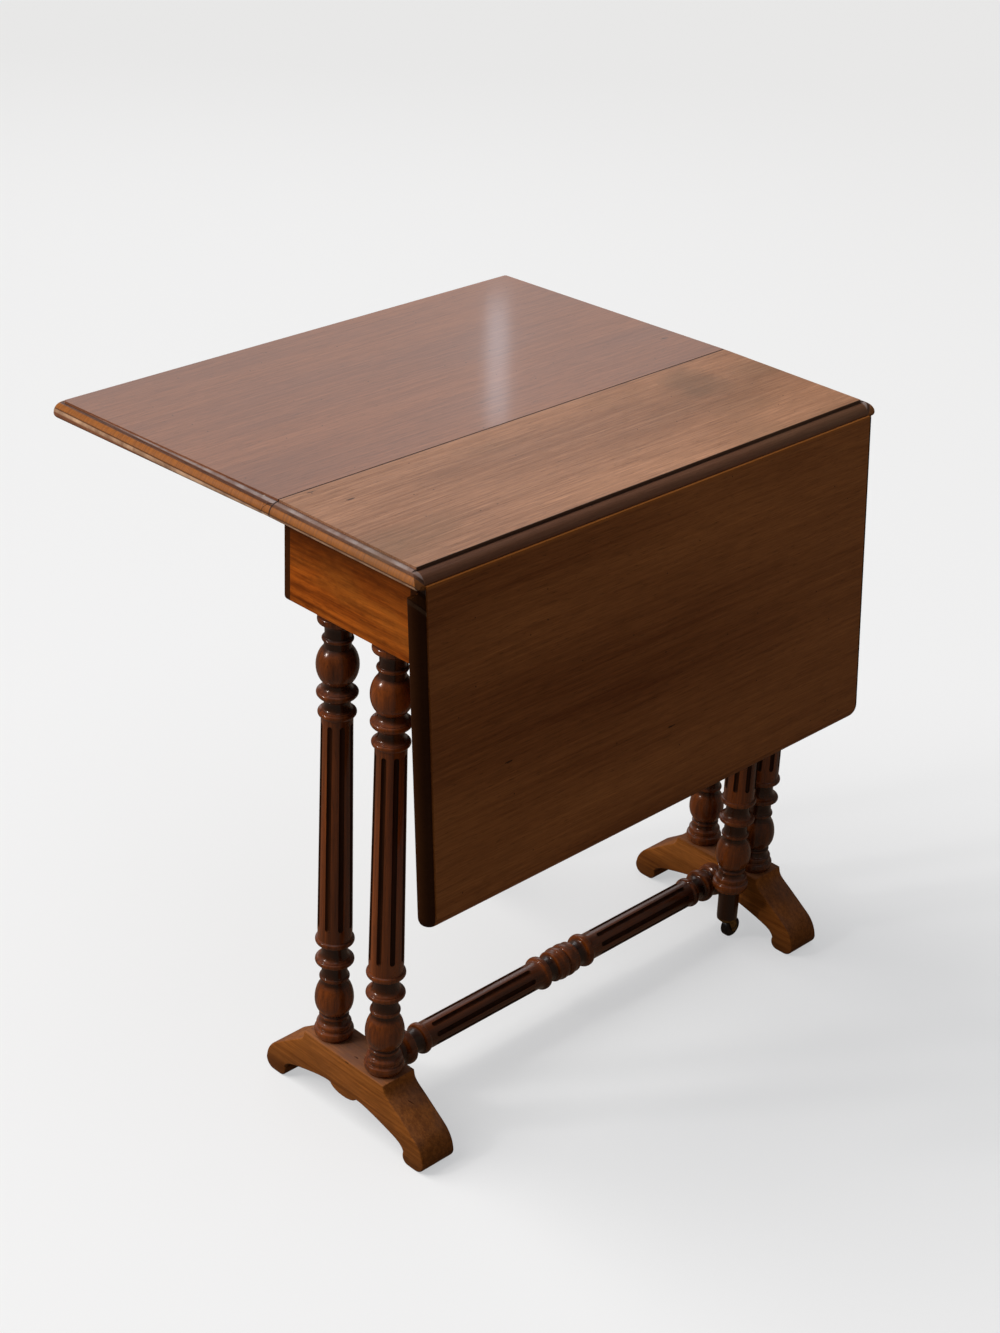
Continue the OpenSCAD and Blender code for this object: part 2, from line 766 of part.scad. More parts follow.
module castor_horn() {
    horn_z = castor_h - plate_t - horn_gap;
    cheek_y = wheel_w / 2 + horn_gap;
    color(brass_colour) at_castor() difference() {
        union() {
            translate([0, 0, horn_z - horn_t]) cylinder(h = horn_t, r = horn_r);
            translate([0, 0, horn_z - horn_t])
                cylinder(h = horn_t + horn_gap + plate_t + socket_stem_l * 0.7, r = swivel_r);
            for (side = [0, 1]) mirror([0, side, 0]) translate([0, cheek_y + cheek_t, 0]) rotate([90, 0, 0])
                linear_extrude(cheek_t) {
                    translate([castor_trail, wheel_r]) circle(cheek_w / 2);
                    polygon([[castor_trail - cheek_w / 2, wheel_r], [castor_trail + cheek_w / 2, wheel_r],
                        [castor_trail, horn_z], [-cheek_w / 2, horn_z]]);
                }
        }
        translate([castor_trail, 0, wheel_r]) rotate([90, 0, 0])
            cylinder(h = wheel_w * 2, r = axle_r + fit, center = true);
    }
}

module castor_axle() {
    color(steel_colour) at_castor() translate([castor_trail, 0, wheel_r]) rotate([90, 0, 0])
        cylinder(h = wheel_w + 2 * (horn_gap + cheek_t), r = axle_r, center = true);
}

module castor_wheel() {
    rim_r = wheel_w * 0.3;
    color(wheel_colour) at_castor() translate([castor_trail, 0, wheel_r])
        rotate([90, 0, 0]) rotate_extrude() difference() {
            union() {
                translate([0, -wheel_w / 2]) square([wheel_r - rim_r, wheel_w]);
                translate([0, rim_r - wheel_w / 2]) square([wheel_r, wheel_w - 2 * rim_r]);
                for (side = [-1, 1])
                    translate([wheel_r - rim_r, side * (wheel_w / 2 - rim_r)]) circle(rim_r);
            }
            translate([-overrun, -wheel_w]) square([axle_r + fit + overrun, 2 * wheel_w]);
        }
}

// The nodes

placed() centre_top();
placed() left_leaf();
placed() right_leaf();
placed() mirror([0, 1, 0]) end_rail();  // end_rail_near
placed() end_rail();  // end_rail_far
placed() on_left() inner_rail();  // inner_rail_left
placed() inner_rail();  // inner_rail_right
placed() on_left() side_rail();  // side_rail_left
placed() side_rail();  // side_rail_right
placed() on_left() rail_stub();  // rail_stub_left
placed() rail_stub();  // rail_stub_right
placed() on_left() mirror([0, 1, 0]) column();  // column_near_left
placed() mirror([0, 1, 0]) column();  // column_near_right
placed() on_left() column();  // column_far_left
placed() column();  // column_far_right
placed() mirror([0, 1, 0]) foot();  // foot_near
placed() foot();  // foot_far
placed() stretcher();
placed() on_left() mirror([0, 1, 0]) glue_block();  // glue_block_near_left
placed() mirror([0, 1, 0]) glue_block();  // glue_block_near_right
placed() on_left() glue_block();  // glue_block_far_left
placed() glue_block();  // glue_block_far_right
placed() block_screws();
placed() on_left() swung(left_swing) fly_rail();  // fly_rail_left
placed() fly_rail();  // fly_rail_right
placed() on_left() swung(left_swing) leg();  // leg_left
placed() leg();  // leg_right
placed() on_left() swung(left_swing) leg_screws();  // leg_screws_left
placed() leg_screws();  // leg_screws_right
placed() on_left() knuckle_pin();  // knuckle_pin_left
placed() knuckle_pin();  // knuckle_pin_right
placed() on_left() swung(left_swing) castor_socket();  // castor_socket_left
placed() castor_socket();  // castor_socket_right
placed() on_left() swung(left_swing) castor_horn();  // castor_horn_left
placed() castor_horn();  // castor_horn_right
placed() on_left() swung(left_swing) castor_axle();  // castor_axle_left
placed() castor_axle();  // castor_axle_right
placed() on_left() swung(left_swing) castor_wheel();  // castor_wheel_left
placed() castor_wheel();  // castor_wheel_right
placed() on_left() near() fixed_flap();  // fixed_flap_near_left
placed() on_left() far() fixed_flap();  // fixed_flap_far_left
placed() near() fixed_flap();  // fixed_flap_near_right
placed() far() fixed_flap();  // fixed_flap_far_right
placed() on_left() dropped(left_drop) near() leaf_flap();  // leaf_flap_near_left
placed() on_left() dropped(left_drop) far() leaf_flap();  // leaf_flap_far_left
placed() dropped(right_drop) near() leaf_flap();  // leaf_flap_near_right
placed() dropped(right_drop) far() leaf_flap();  // leaf_flap_far_right
placed() on_left() near() hinge_pin();  // hinge_pin_near_left
placed() on_left() far() hinge_pin();  // hinge_pin_far_left
placed() near() hinge_pin();  // hinge_pin_near_right
placed() far() hinge_pin();  // hinge_pin_far_right
placed() fixed_flap_screws();
placed() on_left() dropped(left_drop) leaf_flap_screws();  // leaf_flap_screws_left
placed() dropped(right_drop) leaf_flap_screws();  // leaf_flap_screws_right
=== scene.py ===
# Drop-leaf side table: a narrow fixed top, two deep leaves on rule joints, turned and
# fluted columns on trestle feet, and a swing leg on a castor under each leaf.
import math

import bpy
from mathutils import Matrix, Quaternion, Vector


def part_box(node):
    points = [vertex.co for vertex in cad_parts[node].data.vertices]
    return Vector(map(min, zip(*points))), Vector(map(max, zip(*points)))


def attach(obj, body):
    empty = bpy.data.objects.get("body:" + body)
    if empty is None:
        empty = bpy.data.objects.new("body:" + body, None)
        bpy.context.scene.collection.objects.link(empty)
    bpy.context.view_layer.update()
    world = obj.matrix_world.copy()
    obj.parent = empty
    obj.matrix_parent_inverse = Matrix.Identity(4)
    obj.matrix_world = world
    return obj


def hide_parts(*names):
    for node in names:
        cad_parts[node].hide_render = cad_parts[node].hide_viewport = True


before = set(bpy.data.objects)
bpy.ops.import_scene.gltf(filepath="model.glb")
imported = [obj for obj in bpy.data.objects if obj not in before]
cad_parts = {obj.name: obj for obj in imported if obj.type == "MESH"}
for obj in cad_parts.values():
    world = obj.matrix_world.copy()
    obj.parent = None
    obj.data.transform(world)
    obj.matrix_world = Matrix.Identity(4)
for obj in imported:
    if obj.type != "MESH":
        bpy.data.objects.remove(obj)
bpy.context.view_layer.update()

# Camera
# The place and the lens of the photograph, worked out from the table's straight edges.
# The camera stands off the near end, to the right, and leans a little to one side.
camera_place = Vector((1.7521, -1.7383, 1.6966))
camera_aim = Vector((0.0482, 0.0044, 0.4))
camera_roll = math.radians(2.614)
photo_high_px = 1333
focal_px = 2428.6

lens_data = bpy.data.cameras.new("photo_camera")
lens_data.sensor_width = 36
lens_data.lens = lens_data.sensor_width * focal_px / photo_high_px
camera = bpy.data.objects.new("photo_camera", lens_data)
camera.location = camera_place
camera.rotation_mode = "QUATERNION"
look = (camera_aim - camera_place).to_track_quat("-Z", "Y")
camera.rotation_quaternion = look @ Quaternion((0, 0, 1), camera_roll)
bpy.context.scene.collection.objects.link(camera)
bpy.context.scene.camera = camera
bpy.context.scene.view_settings.view_transform = "Standard"

# Floor
# A plain pale studio floor that runs out past the view and is its own backdrop. It keeps
# the table's soft shadow, and shows dimmer in the polish, as a floor under a table does.
floor_half = 30
floor_glow = 0.485
floor_glow_in_polish = 0.07
floor_tone = (0.985, 0.995, 1.01, 1)
floor_in_polish = (1, 0.62, 0.38, 1)
floor_pale = 0.4
floor_dull = 0.26
floor_dull_in_polish = 0.05


def new_material(name):
    material = bpy.data.materials.new(name)
    material.use_nodes = True
    tree = material.node_tree
    tree.nodes.clear()
    output = tree.nodes.new("ShaderNodeOutputMaterial")
    return material, tree, output


def add(tree, kind, values=None, **settings):
    """Adds a node, sets its plain settings, and joins or fills its inputs."""
    node = tree.nodes.new(kind)
    for key, value in settings.items():
        setattr(node, key, value)
    for key, value in (values or {}).items():
        if isinstance(value, bpy.types.NodeSocket):
            tree.links.new(value, node.inputs[key])
        else:
            node.inputs[key].default_value = value
    return node


def add_maths(tree, operation, first, second=0.0, clamp=False):
    node = add(tree, "ShaderNodeMath", {0: first, 1: second}, operation=operation, use_clamp=clamp)
    return node.outputs[0]


def scaled(tree, value, low, high, from_low=0.0, from_high=1.0):
    """Carries a value from one range to another, and stops it at that range's ends."""
    node = add(tree, "ShaderNodeMapRange", {
        "Value": value, "From Min": from_low, "From Max": from_high, "To Min": low, "To Max": high})
    return node.outputs[0]


def mixed(tree, factor, first, second, how="MIX"):
    node = add(tree, "ShaderNodeMix", {0: factor, 6: first, 7: second}, data_type="RGBA",
               blend_type=how)
    return node.outputs[2]


def seen_in_polish(tree):
    """Is 1 for a ray that comes by a reflection or through something clear, and otherwise 0."""
    path = add(tree, "ShaderNodeLightPath")
    return add_maths(tree, "MAXIMUM", path.outputs["Is Glossy Ray"],
                     path.outputs["Is Transmission Ray"])


def seen_by_eye(tree):
    """Is 1 for a ray that comes straight from the camera, and otherwise 0."""
    path = add(tree, "ShaderNodeLightPath")
    return path.outputs["Is Camera Ray"]


floor_material, tree, output = new_material("pale_floor")
in_polish = seen_in_polish(tree)
by_eye = seen_by_eye(tree)
eye_glow = add_maths(tree, "MULTIPLY", by_eye, floor_glow)
polish_glow = add_maths(tree, "MULTIPLY", in_polish, floor_glow_in_polish)
glow_strength = add_maths(tree, "ADD", eye_glow, polish_glow)
glow_tone = mixed(tree, by_eye, floor_in_polish, floor_tone)
glow = add(tree, "ShaderNodeEmission", {"Color": glow_tone, "Strength": glow_strength})
for_polish = add_maths(tree, "MULTIPLY", in_polish, floor_dull - floor_dull_in_polish)
shade = scaled(tree, by_eye, floor_dull, floor_pale)
shade = add_maths(tree, "SUBTRACT", shade, for_polish)
pale = add(tree, "ShaderNodeBsdfDiffuse", {"Color": shade})
both = add(tree, "ShaderNodeAddShader", {0: glow.outputs[0], 1: pale.outputs[0]})
tree.links.new(both.outputs[0], output.inputs["Surface"])

floor_mesh = bpy.data.meshes.new("floor")
corners = [(-floor_half, -floor_half, 0), (floor_half, -floor_half, 0),
           (floor_half, floor_half, 0), (-floor_half, floor_half, 0)]
floor_mesh.from_pydata(corners, [], [(0, 1, 2, 3)])
floor_mesh.materials.append(floor_material)
floor = bpy.data.objects.new("floor", floor_mesh)
bpy.context.scene.collection.objects.link(floor)

# Studio light
# A large soft light from the left and above, a smaller window that gives the turned work
# its highlights, a broad pale panel that lies as a sheen on the top, and a narrow window
# that stands as a streak in the left leaf's polish. The room in front is dim.
world_pale = 0.825
room_in_polish = 0.1
room_colour = (1, 0.8, 0.66, 1)
world_fill = 0.17
fill_colour = (1, 0.95, 0.88, 1)
soft_from = Vector((-0.6, -0.42, 0.72))
soft_strength = 2.85
soft_colour = (1, 0.98, 0.95)
soft_angle = 50
side_window_place = (-1.09, -2.2, 1.72)
side_window_target = (0, 0, 0.5)
side_window_power = 14
side_window_colour = (1, 0.98, 0.97)
side_window_size = (0.22, 0.36)
sheen_place = (-2.8, 1.8, 2.15)
sheen_target = (-0.5, -0.5, 0.7)
sheen_power = 10.9
sheen_colour = (0.93, 0.96, 1)
sheen_size = (2.7, 1.7)
streak_place = (-1.755, 1.755, 1.52)
streak_target = (-0.05, 0.08, 0.7)
streak_power = 0.1
streak_colour = (0.72, 0.86, 1)
streak_size = (0.045, 0.27)
ceiling_place = (0.3, 0.2, 3.1)
ceiling_target = (0.3, 0.2, 0)
ceiling_power = 15
ceiling_colour = (0.86, 0.9, 1)
ceiling_size = (2.6, 2.6)

world = bpy.data.worlds.new("studio")
world.use_nodes = True
bpy.context.scene.world = world
tree = world.node_tree
tree.nodes.clear()
output = tree.nodes.new("ShaderNodeOutputWorld")
fill = add(tree, "ShaderNodeBackground", {"Color": fill_colour, "Strength": world_fill})
dim_room = add(tree, "ShaderNodeBackground", {"Color": room_colour, "Strength": room_in_polish})
pale_room = add(tree, "ShaderNodeBackground", {"Color": (1, 1, 1, 1), "Strength": world_pale})
lit = add(tree, "ShaderNodeMixShader", {
    0: seen_in_polish(tree), 1: fill.outputs[0], 2: dim_room.outputs[0]})
sky = add(tree, "ShaderNodeMixShader", {
    0: seen_by_eye(tree), 1: lit.outputs[0], 2: pale_room.outputs[0]})
tree.links.new(sky.outputs[0], output.inputs["Surface"])


def add_lamp(name, kind, place, target, strength, colour, size=None):
    """A lamp that the camera doesn't see. The broad soft light doesn't show in the polish."""
    data = bpy.data.lights.new(name, kind)
    data.energy = strength
    data.color = colour
    if size:
        data.shape = "RECTANGLE"
        data.size, data.size_y = size
    lamp = bpy.data.objects.new(name, data)
    lamp.location = place
    lamp.rotation_mode = "QUATERNION"
    lamp.rotation_quaternion = (Vector(target) - Vector(place)).to_track_quat("-Z", "Y")
    lamp.visible_camera = False
    lamp.visible_glossy = kind != "SUN"
    bpy.context.scene.collection.objects.link(lamp)
    return data


soft_light = add_lamp("soft_light", "SUN", soft_from, (0, 0, 0), soft_strength, soft_colour)
soft_light.angle = math.radians(soft_angle)
add_lamp("side_window", "AREA", side_window_place, side_window_target, side_window_power,
         side_window_colour, side_window_size)
add_lamp("sheen_panel", "AREA", sheen_place, sheen_target, sheen_power, sheen_colour, sheen_size)
add_lamp("ceiling", "AREA", ceiling_place, ceiling_target, ceiling_power, ceiling_colour,
         ceiling_size)
add_lamp("streak_window", "AREA", streak_place, streak_target, streak_power, streak_colour,
         streak_size)

# Top and leaves
# Straight-grained mahogany boards, French polished long ago. The grain runs along the
# table. The ends and the leaves' long edges have a rounded moulding under a small quirk,
# where old polish and dirt have gathered, and its lower arris is rubbed pale and carries a
# painted highlight. A pale band near the moulding's top is a painted highlight, and two dark
# bands in its hollows are painted shade.
edge_reach = 0.0125
step_at = 0.0032
hollow_at = 0.0125
lip_at = 0.0256
edge_depth = 0.0009
edge_dullness = 0.16
grain_depth = 0.0004
seam_x = 0.064576
seam_half = (0.0005, 0.0013)
top_step_x = 0.2652
top_step_half = (0.0005, 0.0015)
top_round_x = (0.2644, 0.2654)
joint_arris_below = (0.004, 0.0015)
top_deep = (0.24, 0.106, 0.053, 1)
top_light = (0.45, 0.225, 0.125, 1)
leaf_deep = (0.16, 0.052, 0.021, 1)
leaf_light = (0.31, 0.122, 0.057, 1)
# Hanging leaf colours: darker, more saturated copies of a leaf's, painted shade for where it hangs
hanging_shaded_deep = (0.135, 0.034, 0.007, 1)
hanging_shaded_light = (0.325, 0.112, 0.029, 1)
hanging_moulding_dark = (0.035, 0.012, 0.004, 1)
hanging_end_tone = (0.014, 0.0035, 0.001, 1)
hanging_tint = (1, 0.55, 0.3, 1)
moulding_stain = (0.08, 0.024, 0.009, 1)
moulding_red = (0.11, 0.022, 0.011, 1)
moulding_amber = (0.35, 0.115, 0.019, 1)
moulding_painted_highlight = (0.46, 0.4, 0.39, 1)
moulding_rubbed_highlight = (0.66, 0.4, 0.24, 1)
stain_place = (0.112, 0.225, 0.71)
stain_reach = (0.022, 0.05)
stain_tone = (0.1, 0.066, 0.042, 1)
bloom_tone = (0.14, 0.085, 0.045, 1)
# A dark colour for dirt, specks and joints, also laid as painted shade in the moulding's hollows
dirt_and_shade_colour = (0.02, 0.007, 0.004, 1)
chip_colour = (0.62, 0.52, 0.42, 1)


def new_group(name, inputs, outputs):
    """A node group with named inputs, each with its kind and start, and number outputs."""
    group = bpy.data.node_groups.new(name, "ShaderNodeTree")
    for socket_name, start in inputs.items():
        kind = "NodeSocketVector" if isinstance(start, tuple) else "NodeSocketFloat"
        made = group.interface.new_socket(socket_name, in_out="INPUT", socket_type=kind)
        made.default_value = start
    for socket_name in outputs:
        group.interface.new_socket(socket_name, in_out="OUTPUT", socket_type="NodeSocketFloat")
    given = group.nodes.new("NodeGroupInput").outputs
    put = group.nodes.new("NodeGroupOutput").inputs
    return group, given, put


def stretched_noise(tree, vector, along, size, detail, rough):
    """A noise drawn out along the first axis, the more so the smaller along is."""
    squeeze = add(tree, "ShaderNodeVectorMath", {0: vector, 1: (along, 1, 1)}, operation="MULTIPLY")
    noise = add(tree, "ShaderNodeTexNoise", {
        "Vector": squeeze.outputs[0], "Scale": size, "Detail": detail, "Roughness": rough})
    return noise.outputs[0]


def off_line(tree, place, line):
    """How far a place is from a line."""
    return add_maths(tree, "ABSOLUTE", add_maths(tree, "SUBTRACT", place, line))


# The grain: broad clouds, streaks along the board, fine fibres and short dark pores
grain_group, given, put = new_group(
    "wood_grain", {"Vector": (0, 0, 0), "Cloud Size": 9.0, "Streak Size": 130.0,
                   "Fibre Size": 620.0, "Sway": 0.006}, ("Cloud", "Streak", "Fibre", "Pores"))
bend = add(grain_group, "ShaderNodeTexNoise", {"Vector": given["Vector"], "Scale": 3.2, "Detail": 3})
centred = add(grain_group, "ShaderNodeVectorMath", {0: bend.outputs["Color"], 1: (0.5, 0.5, 0.5)},
              operation="SUBTRACT")
amount = add(grain_group, "ShaderNodeVectorMath", {0: centred.outputs[0], "Scale": given["Sway"]},
             operation="SCALE")
swayed = add(grain_group, "ShaderNodeVectorMath", {0: given["Vector"], 1: amount.outputs[0]},
             operation="ADD").outputs[0]
pores = stretched_noise(grain_group, swayed, 0.09, given["Fibre Size"], 2, 0.5)
for socket_name, source in (
        ("Cloud", stretched_noise(grain_group, swayed, 0.22, given["Cloud Size"], 3, 0.5)),
        ("Streak", stretched_noise(grain_group, swayed, 0.02, given["Streak Size"], 5, 0.62)),
        ("Fibre", stretched_noise(grain_group, swayed, 0.03, given["Fibre Size"], 3, 0.6)),
        ("Pores", scaled(grain_group, pores, 0, 1, 0.6, 0.74))):
    grain_group.links.new(source, put[socket_name])

# Small marks: one round or drawn-out spot in a few cells of a random pattern
marks_group, given, put = new_group(
    "small_marks", {"Vector": (0, 0, 0), "Size": 60.0, "Spread": 0.06, "Share": 0.1}, ("Marks",))
cells = add(marks_group, "ShaderNodeTexVoronoi", {"Vector": given["Vector"], "Scale": given["Size"]},
            voronoi_dimensions="2D")
ragged = add(marks_group, "ShaderNodeTexNoise", {"Vector": given["Vector"], "Scale": 900, "Detail": 2})
torn = scaled(marks_group, ragged.outputs[0], -0.025, 0.025)
edge = add_maths(marks_group, "ADD", cells.outputs["Distance"], torn)
spot = add_maths(marks_group, "LESS_THAN", edge, given["Spread"])
chance = add(marks_group, "ShaderNodeSeparateColor", {0: cells.outputs["Color"]})
chosen = add_maths(marks_group, "LESS_THAN", chance.outputs[0], given["Share"])
marks_group.links.new(add_maths(marks_group, "MULTIPLY", spot, chosen), put["Marks"])

# The moulding: past the flat field's ends, or past its long outer edge
moulding_group, given, put = new_group(
    "moulding_place", {"Along": 0.0, "Field End": 0.33, "Across": 0.0, "Field Edge": 1.0},
    ("Moulding", "Past"))
past_end = add_maths(moulding_group, "SUBTRACT", add_maths(moulding_group, "ABSOLUTE", given["Along"]),
                     given["Field End"])
past_edge = add_maths(moulding_group, "SUBTRACT", given["Across"], given["Field Edge"])
past = add_maths(moulding_group, "MAXIMUM", past_end, past_edge)
moulding_group.links.new(scaled(moulding_group, past, 0, 1, 0, 0.0006), put["Moulding"])
moulding_group.links.new(past, put["Past"])


# The part of its range that a noise mostly keeps to
noise_span = (0.3, 0.7)


class Wood:
    """A polished wooden finish, built up from the grain and then dirtied and worn, with some
    painted light and shade laid over it in places.
    """

    def __init__(self, name, grain, shift, deep, light, sizes=(9, 130, 620), streak_gain=1.0,
                 sway=0.006):
        self.material, self.tree, self.output = new_material(name)
        tree = self.tree
        self.place = add(tree, "ShaderNodeTexCoord").outputs["Object"]
        turn = {"x": (0, 0, 0), "y": (0, 0, -math.pi / 2), "z": (0, math.pi / 2, 0)}[grain]
        sawn_from = (shift, shift * 0.37, shift * 0.71)
        self.board = add(tree, "ShaderNodeMapping", {
            "Vector": self.place, "Rotation": turn, "Location": sawn_from}).outputs[0]
        figure = add(tree, "ShaderNodeGroup", node_tree=grain_group)
        tree.links.new(self.board, figure.inputs["Vector"])
        for key, value in zip(("Cloud Size", "Streak Size", "Fibre Size"), sizes):
            figure.inputs[key].default_value = value
        figure.inputs["Sway"].default_value = sway
        self.figure = figure.outputs
        low, high = 0.5 - 0.5 * streak_gain, 0.5 + 0.5 * streak_gain
        streaks = scaled(tree, self.figure["Streak"], low, high, *noise_span)
        clouds = scaled(tree, self.figure["Cloud"], -0.35, 0.35, *noise_span)
        self.colour = mixed(tree, add_maths(tree, "ADD", streaks, clouds, clamp=True), deep, light)
        fibres = scaled(tree, self.figure["Fibre"], 0.76, 1.22, *noise_span)
        self.colour = mixed(tree, 1.0, self.colour, fibres, "MULTIPLY")
        pores = scaled(tree, self.figure["Pores"], 1.0, 0.6)
        self.colour = mixed(tree, 1.0, self.colour, pores, "MULTIPLY")
        self.height = add_maths(tree, "SUBTRACT", self.figure["Streak"], self.figure["Pores"])
        self.extra_rough = None
        self.edge_relief = None

    def tinge(self, mask, colour, share=1.0):
        """Lays a colour over the wood where the mask says."""
        laid = add_maths(self.tree, "MULTIPLY", mask, share, clamp=True)
        self.colour = mixed(self.tree, laid, self.colour, colour)

    def marks(self, colour, size, spread, share, where=None, drawn_out=0.3):
        """Specks, chips or short scratches, drawn out along the grain."""
        tree = self.tree
        parts = add(tree, "ShaderNodeSeparateXYZ", {0: self.board}).outputs
        along = add_maths(tree, "MULTIPLY", parts[0], drawn_out)
        across = add_maths(tree, "ADD", parts[1], parts[2])
        flat = add(tree, "ShaderNodeCombineXYZ", {0: along, 1: across})
        group = add(tree, "ShaderNodeGroup", node_tree=marks_group)
        tree.links.new(flat.outputs[0], group.inputs["Vector"])
        for key, value in (("Size", size), ("Spread", spread), ("Share", share)):
            group.inputs[key].default_value = value
        mask = group.outputs[0]
        if where:
            mask = add_maths(tree, "MULTIPLY", mask, where)
        self.tinge(mask, colour, 0.8)

    def axis(self, letter):
        parts = add(self.tree, "ShaderNodeSeparateXYZ", {0: self.place})
        return parts.outputs[letter]

    def finish(self, rough, gloss, bump, tint=(1, 1, 1, 1), coat=0.0, coat_rough=0.07):
        """Joins the colour, the polish and the relief. rough is the polish at its best and worst."""
        tree = self.tree
        roughness = scaled(tree, self.figure["Cloud"], *rough, *noise_span)
        if self.extra_rough:
            roughness = add_maths(tree, "ADD", roughness, self.extra_rough, clamp=True)
        relief = add(tree, "ShaderNodeBump", {
            "Strength": bump, "Distance": grain_depth, "Height": self.height})
        if self.edge_relief:
            cut = add(tree, "ShaderNodeBump", {
                "Strength": 1.0, "Distance": edge_depth, "Height": self.edge_relief})
            tree.links.new(cut.outputs[0], relief.inputs["Normal"])
        shader = add(tree, "ShaderNodeBsdfPrincipled", {
            "Base Color": self.colour, "Roughness": roughness, "Normal": relief.outputs[0],
            "Specular IOR Level": gloss, "Specular Tint": tint, "Coat Weight": coat,
            "Coat Roughness": coat_rough})
        tree.links.new(shader.outputs[0], self.output.inputs["Surface"])
        return self.material


def dress(material, *names):
    """Gives nodes of the frame their finish."""
    for name in names:
        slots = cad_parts[name].data.materials
        slots.clear()
        slots.append(material)


def board_wood(name, node, shift, deep, light, across=None, tone=moulding_stain, gain=0.8, fine=420):
    """A top board's wood with its moulding, quirk, rubbed arris, specks and chips, and the
    painted highlight and painted shade bands on its moulding. across is the
    axis that runs out over a leaf's long edge, and where that edge is."""
    wood = Wood(name, "y", shift, deep, light, sizes=(8, fine, 1100), streak_gain=gain)
    tree = wood.tree
    _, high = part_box(node)
    place = add(tree, "ShaderNodeGroup", node_tree=moulding_group)
    tree.links.new(wood.axis("Y"), place.inputs["Along"])
    place.inputs["Field End"].default_value = high[1] - edge_reach
    if across:
        letter, edge = across
        outward = add_maths(tree, "MULTIPLY", wood.axis(letter), -1.0)
        tree.links.new(outward, place.inputs["Across"])
        place.inputs["Field Edge"].default_value = -(edge + edge_reach)
    smudge = stretched_noise(tree, wood.board, 1.0, 45, 4, 0.6)
    smudged = scaled(tree, smudge, 0.35, 1, 0.38, 0.66)
    ripple = add(tree, "ShaderNodeVectorMath", {0: wood.place, 1: (1, 0.06, 0.06)},
                 operation="MULTIPLY")
    ripple = stretched_noise(tree, ripple.outputs[0], 1.0, 380, 4, 0.65)
    rippled = scaled(tree, ripple, 0.45, 1, 0.36, 0.58)
    fallen = add_maths(tree, "SUBTRACT", high[2], wood.axis("Z"))
    round_edge = add_maths(tree, "ADD", place.outputs["Past"], fallen)
    on_edge = place.outputs["Moulding"]
    # Each band's start and end, measured out and down over the edge, its colour, share and breaks.
    # The pale band near the top is a painted highlight, the two dark bands are painted shade in the
    # hollow and in the groove above the lip, and the lip's pale band is wear with a painted highlight.
    bands = (
        (-0.001, 0.031, tone, 0.75, 1.0),
        (0.0145, 0.0255, moulding_amber, 0.9, rippled),
        (0.0036, 0.0098, moulding_painted_highlight, 0.66, smudged),
        (-0.0006, 0.0026, moulding_red, 0.9, 1.0),
        (0.0105, 0.0145, dirt_and_shade_colour, 0.6, smudged),
        (0.025, 0.0262, dirt_and_shade_colour, 0.8, rippled),
        (0.0262, 0.031, moulding_rubbed_highlight, 0.9, smudged))
    outer_fade, inner_fade = 0.0006, 0.0008
    for start, stop, shade, share, broken in bands:
        begun = scaled(tree, round_edge, 0, 1, start - outer_fade, start + inner_fade)
        ended = scaled(tree, round_edge, 1, 0, stop - inner_fade, stop + outer_fade)
        band = add_maths(tree, "MULTIPLY", add_maths(tree, "MULTIPLY", begun, ended), on_edge)
        wood.tinge(add_maths(tree, "MULTIPLY", band, broken), shade, share)
    cuts = 0.0
    grooves = ((step_at, 1, 0.0016), (lip_at, 0.6, 0.0011), (hollow_at, 1, 0.0032))
    for line, depth, half_width in grooves:
        cut = scaled(tree, off_line(tree, round_edge, line), -depth, 0, 0, half_width)
        cuts = add_maths(tree, "ADD", cuts, cut)
    wood.edge_relief = add_maths(tree, "MULTIPLY", cuts, on_edge)
    wood.extra_rough = add_maths(tree, "MULTIPLY", on_edge, edge_dullness)
    wood.marks(dirt_and_shade_colour, size=18, spread=0.022, share=0.12, drawn_out=0.25)
    wood.marks(dirt_and_shade_colour, size=40, spread=0.034, share=0.08, drawn_out=1.0)
    wood.marks(chip_colour, size=55, spread=0.06, share=0.03, where=on_edge, drawn_out=1.0)
    return wood, place


def dark_seam(wood):
    """Dirt along the joint line between the fixed top and the raised leaf."""
    off_seam = off_line(wood.tree, wood.axis("X"), seam_x)
    wood.tinge(scaled(wood.tree, off_seam, 1, 0, *seam_half), dirt_and_shade_colour, 0.95)


# The fixed top: its right side has a small step that the hanging leaf's hollow runs over
top_wood, top_place = board_wood("polished_top", "centre_top", 0.3, top_deep, top_light)
tree = top_wood.tree
on_field = scaled(tree, top_place.outputs["Past"], 1, 0, -0.0004, 0.0004)
right_side = scaled(tree, top_wood.axis("X"), 0, 1, *top_round_x)
top_wood.tinge(add_maths(tree, "MULTIPLY", right_side, on_field), moulding_stain, 0.75)
step_line = scaled(tree, off_line(tree, top_wood.axis("X"), top_step_x), 1, 0, *top_step_half)
top_wood.tinge(add_maths(tree, "MULTIPLY", step_line, on_field), dirt_and_shade_colour, 0.9)
dark_seam(top_wood)
from_stain = add(tree, "ShaderNodeVectorMath", {0: top_wood.place, 1: stain_place},
                 operation="DISTANCE")
wavering = scaled(tree, stretched_noise(tree, top_wood.place, 1.0, 30, 3, 0.5), -0.02, 0.02)
stain = add_maths(tree, "ADD", from_stain.outputs["Value"], wavering)
top_wood.tinge(scaled(tree, stain, 1, 0, *stain_reach), stain_tone, 0.4)
bloom = stretched_noise(tree, top_wood.board, 0.5, 7, 3, 0.55)
top_wood.tinge(scaled(tree, bloom, 0, 1, 0.52, 0.68), bloom_tone, 0.35)
dress(top_wood.finish(rough=(0.34, 0.44), gloss=0.38, bump=0.14), "centre_top")

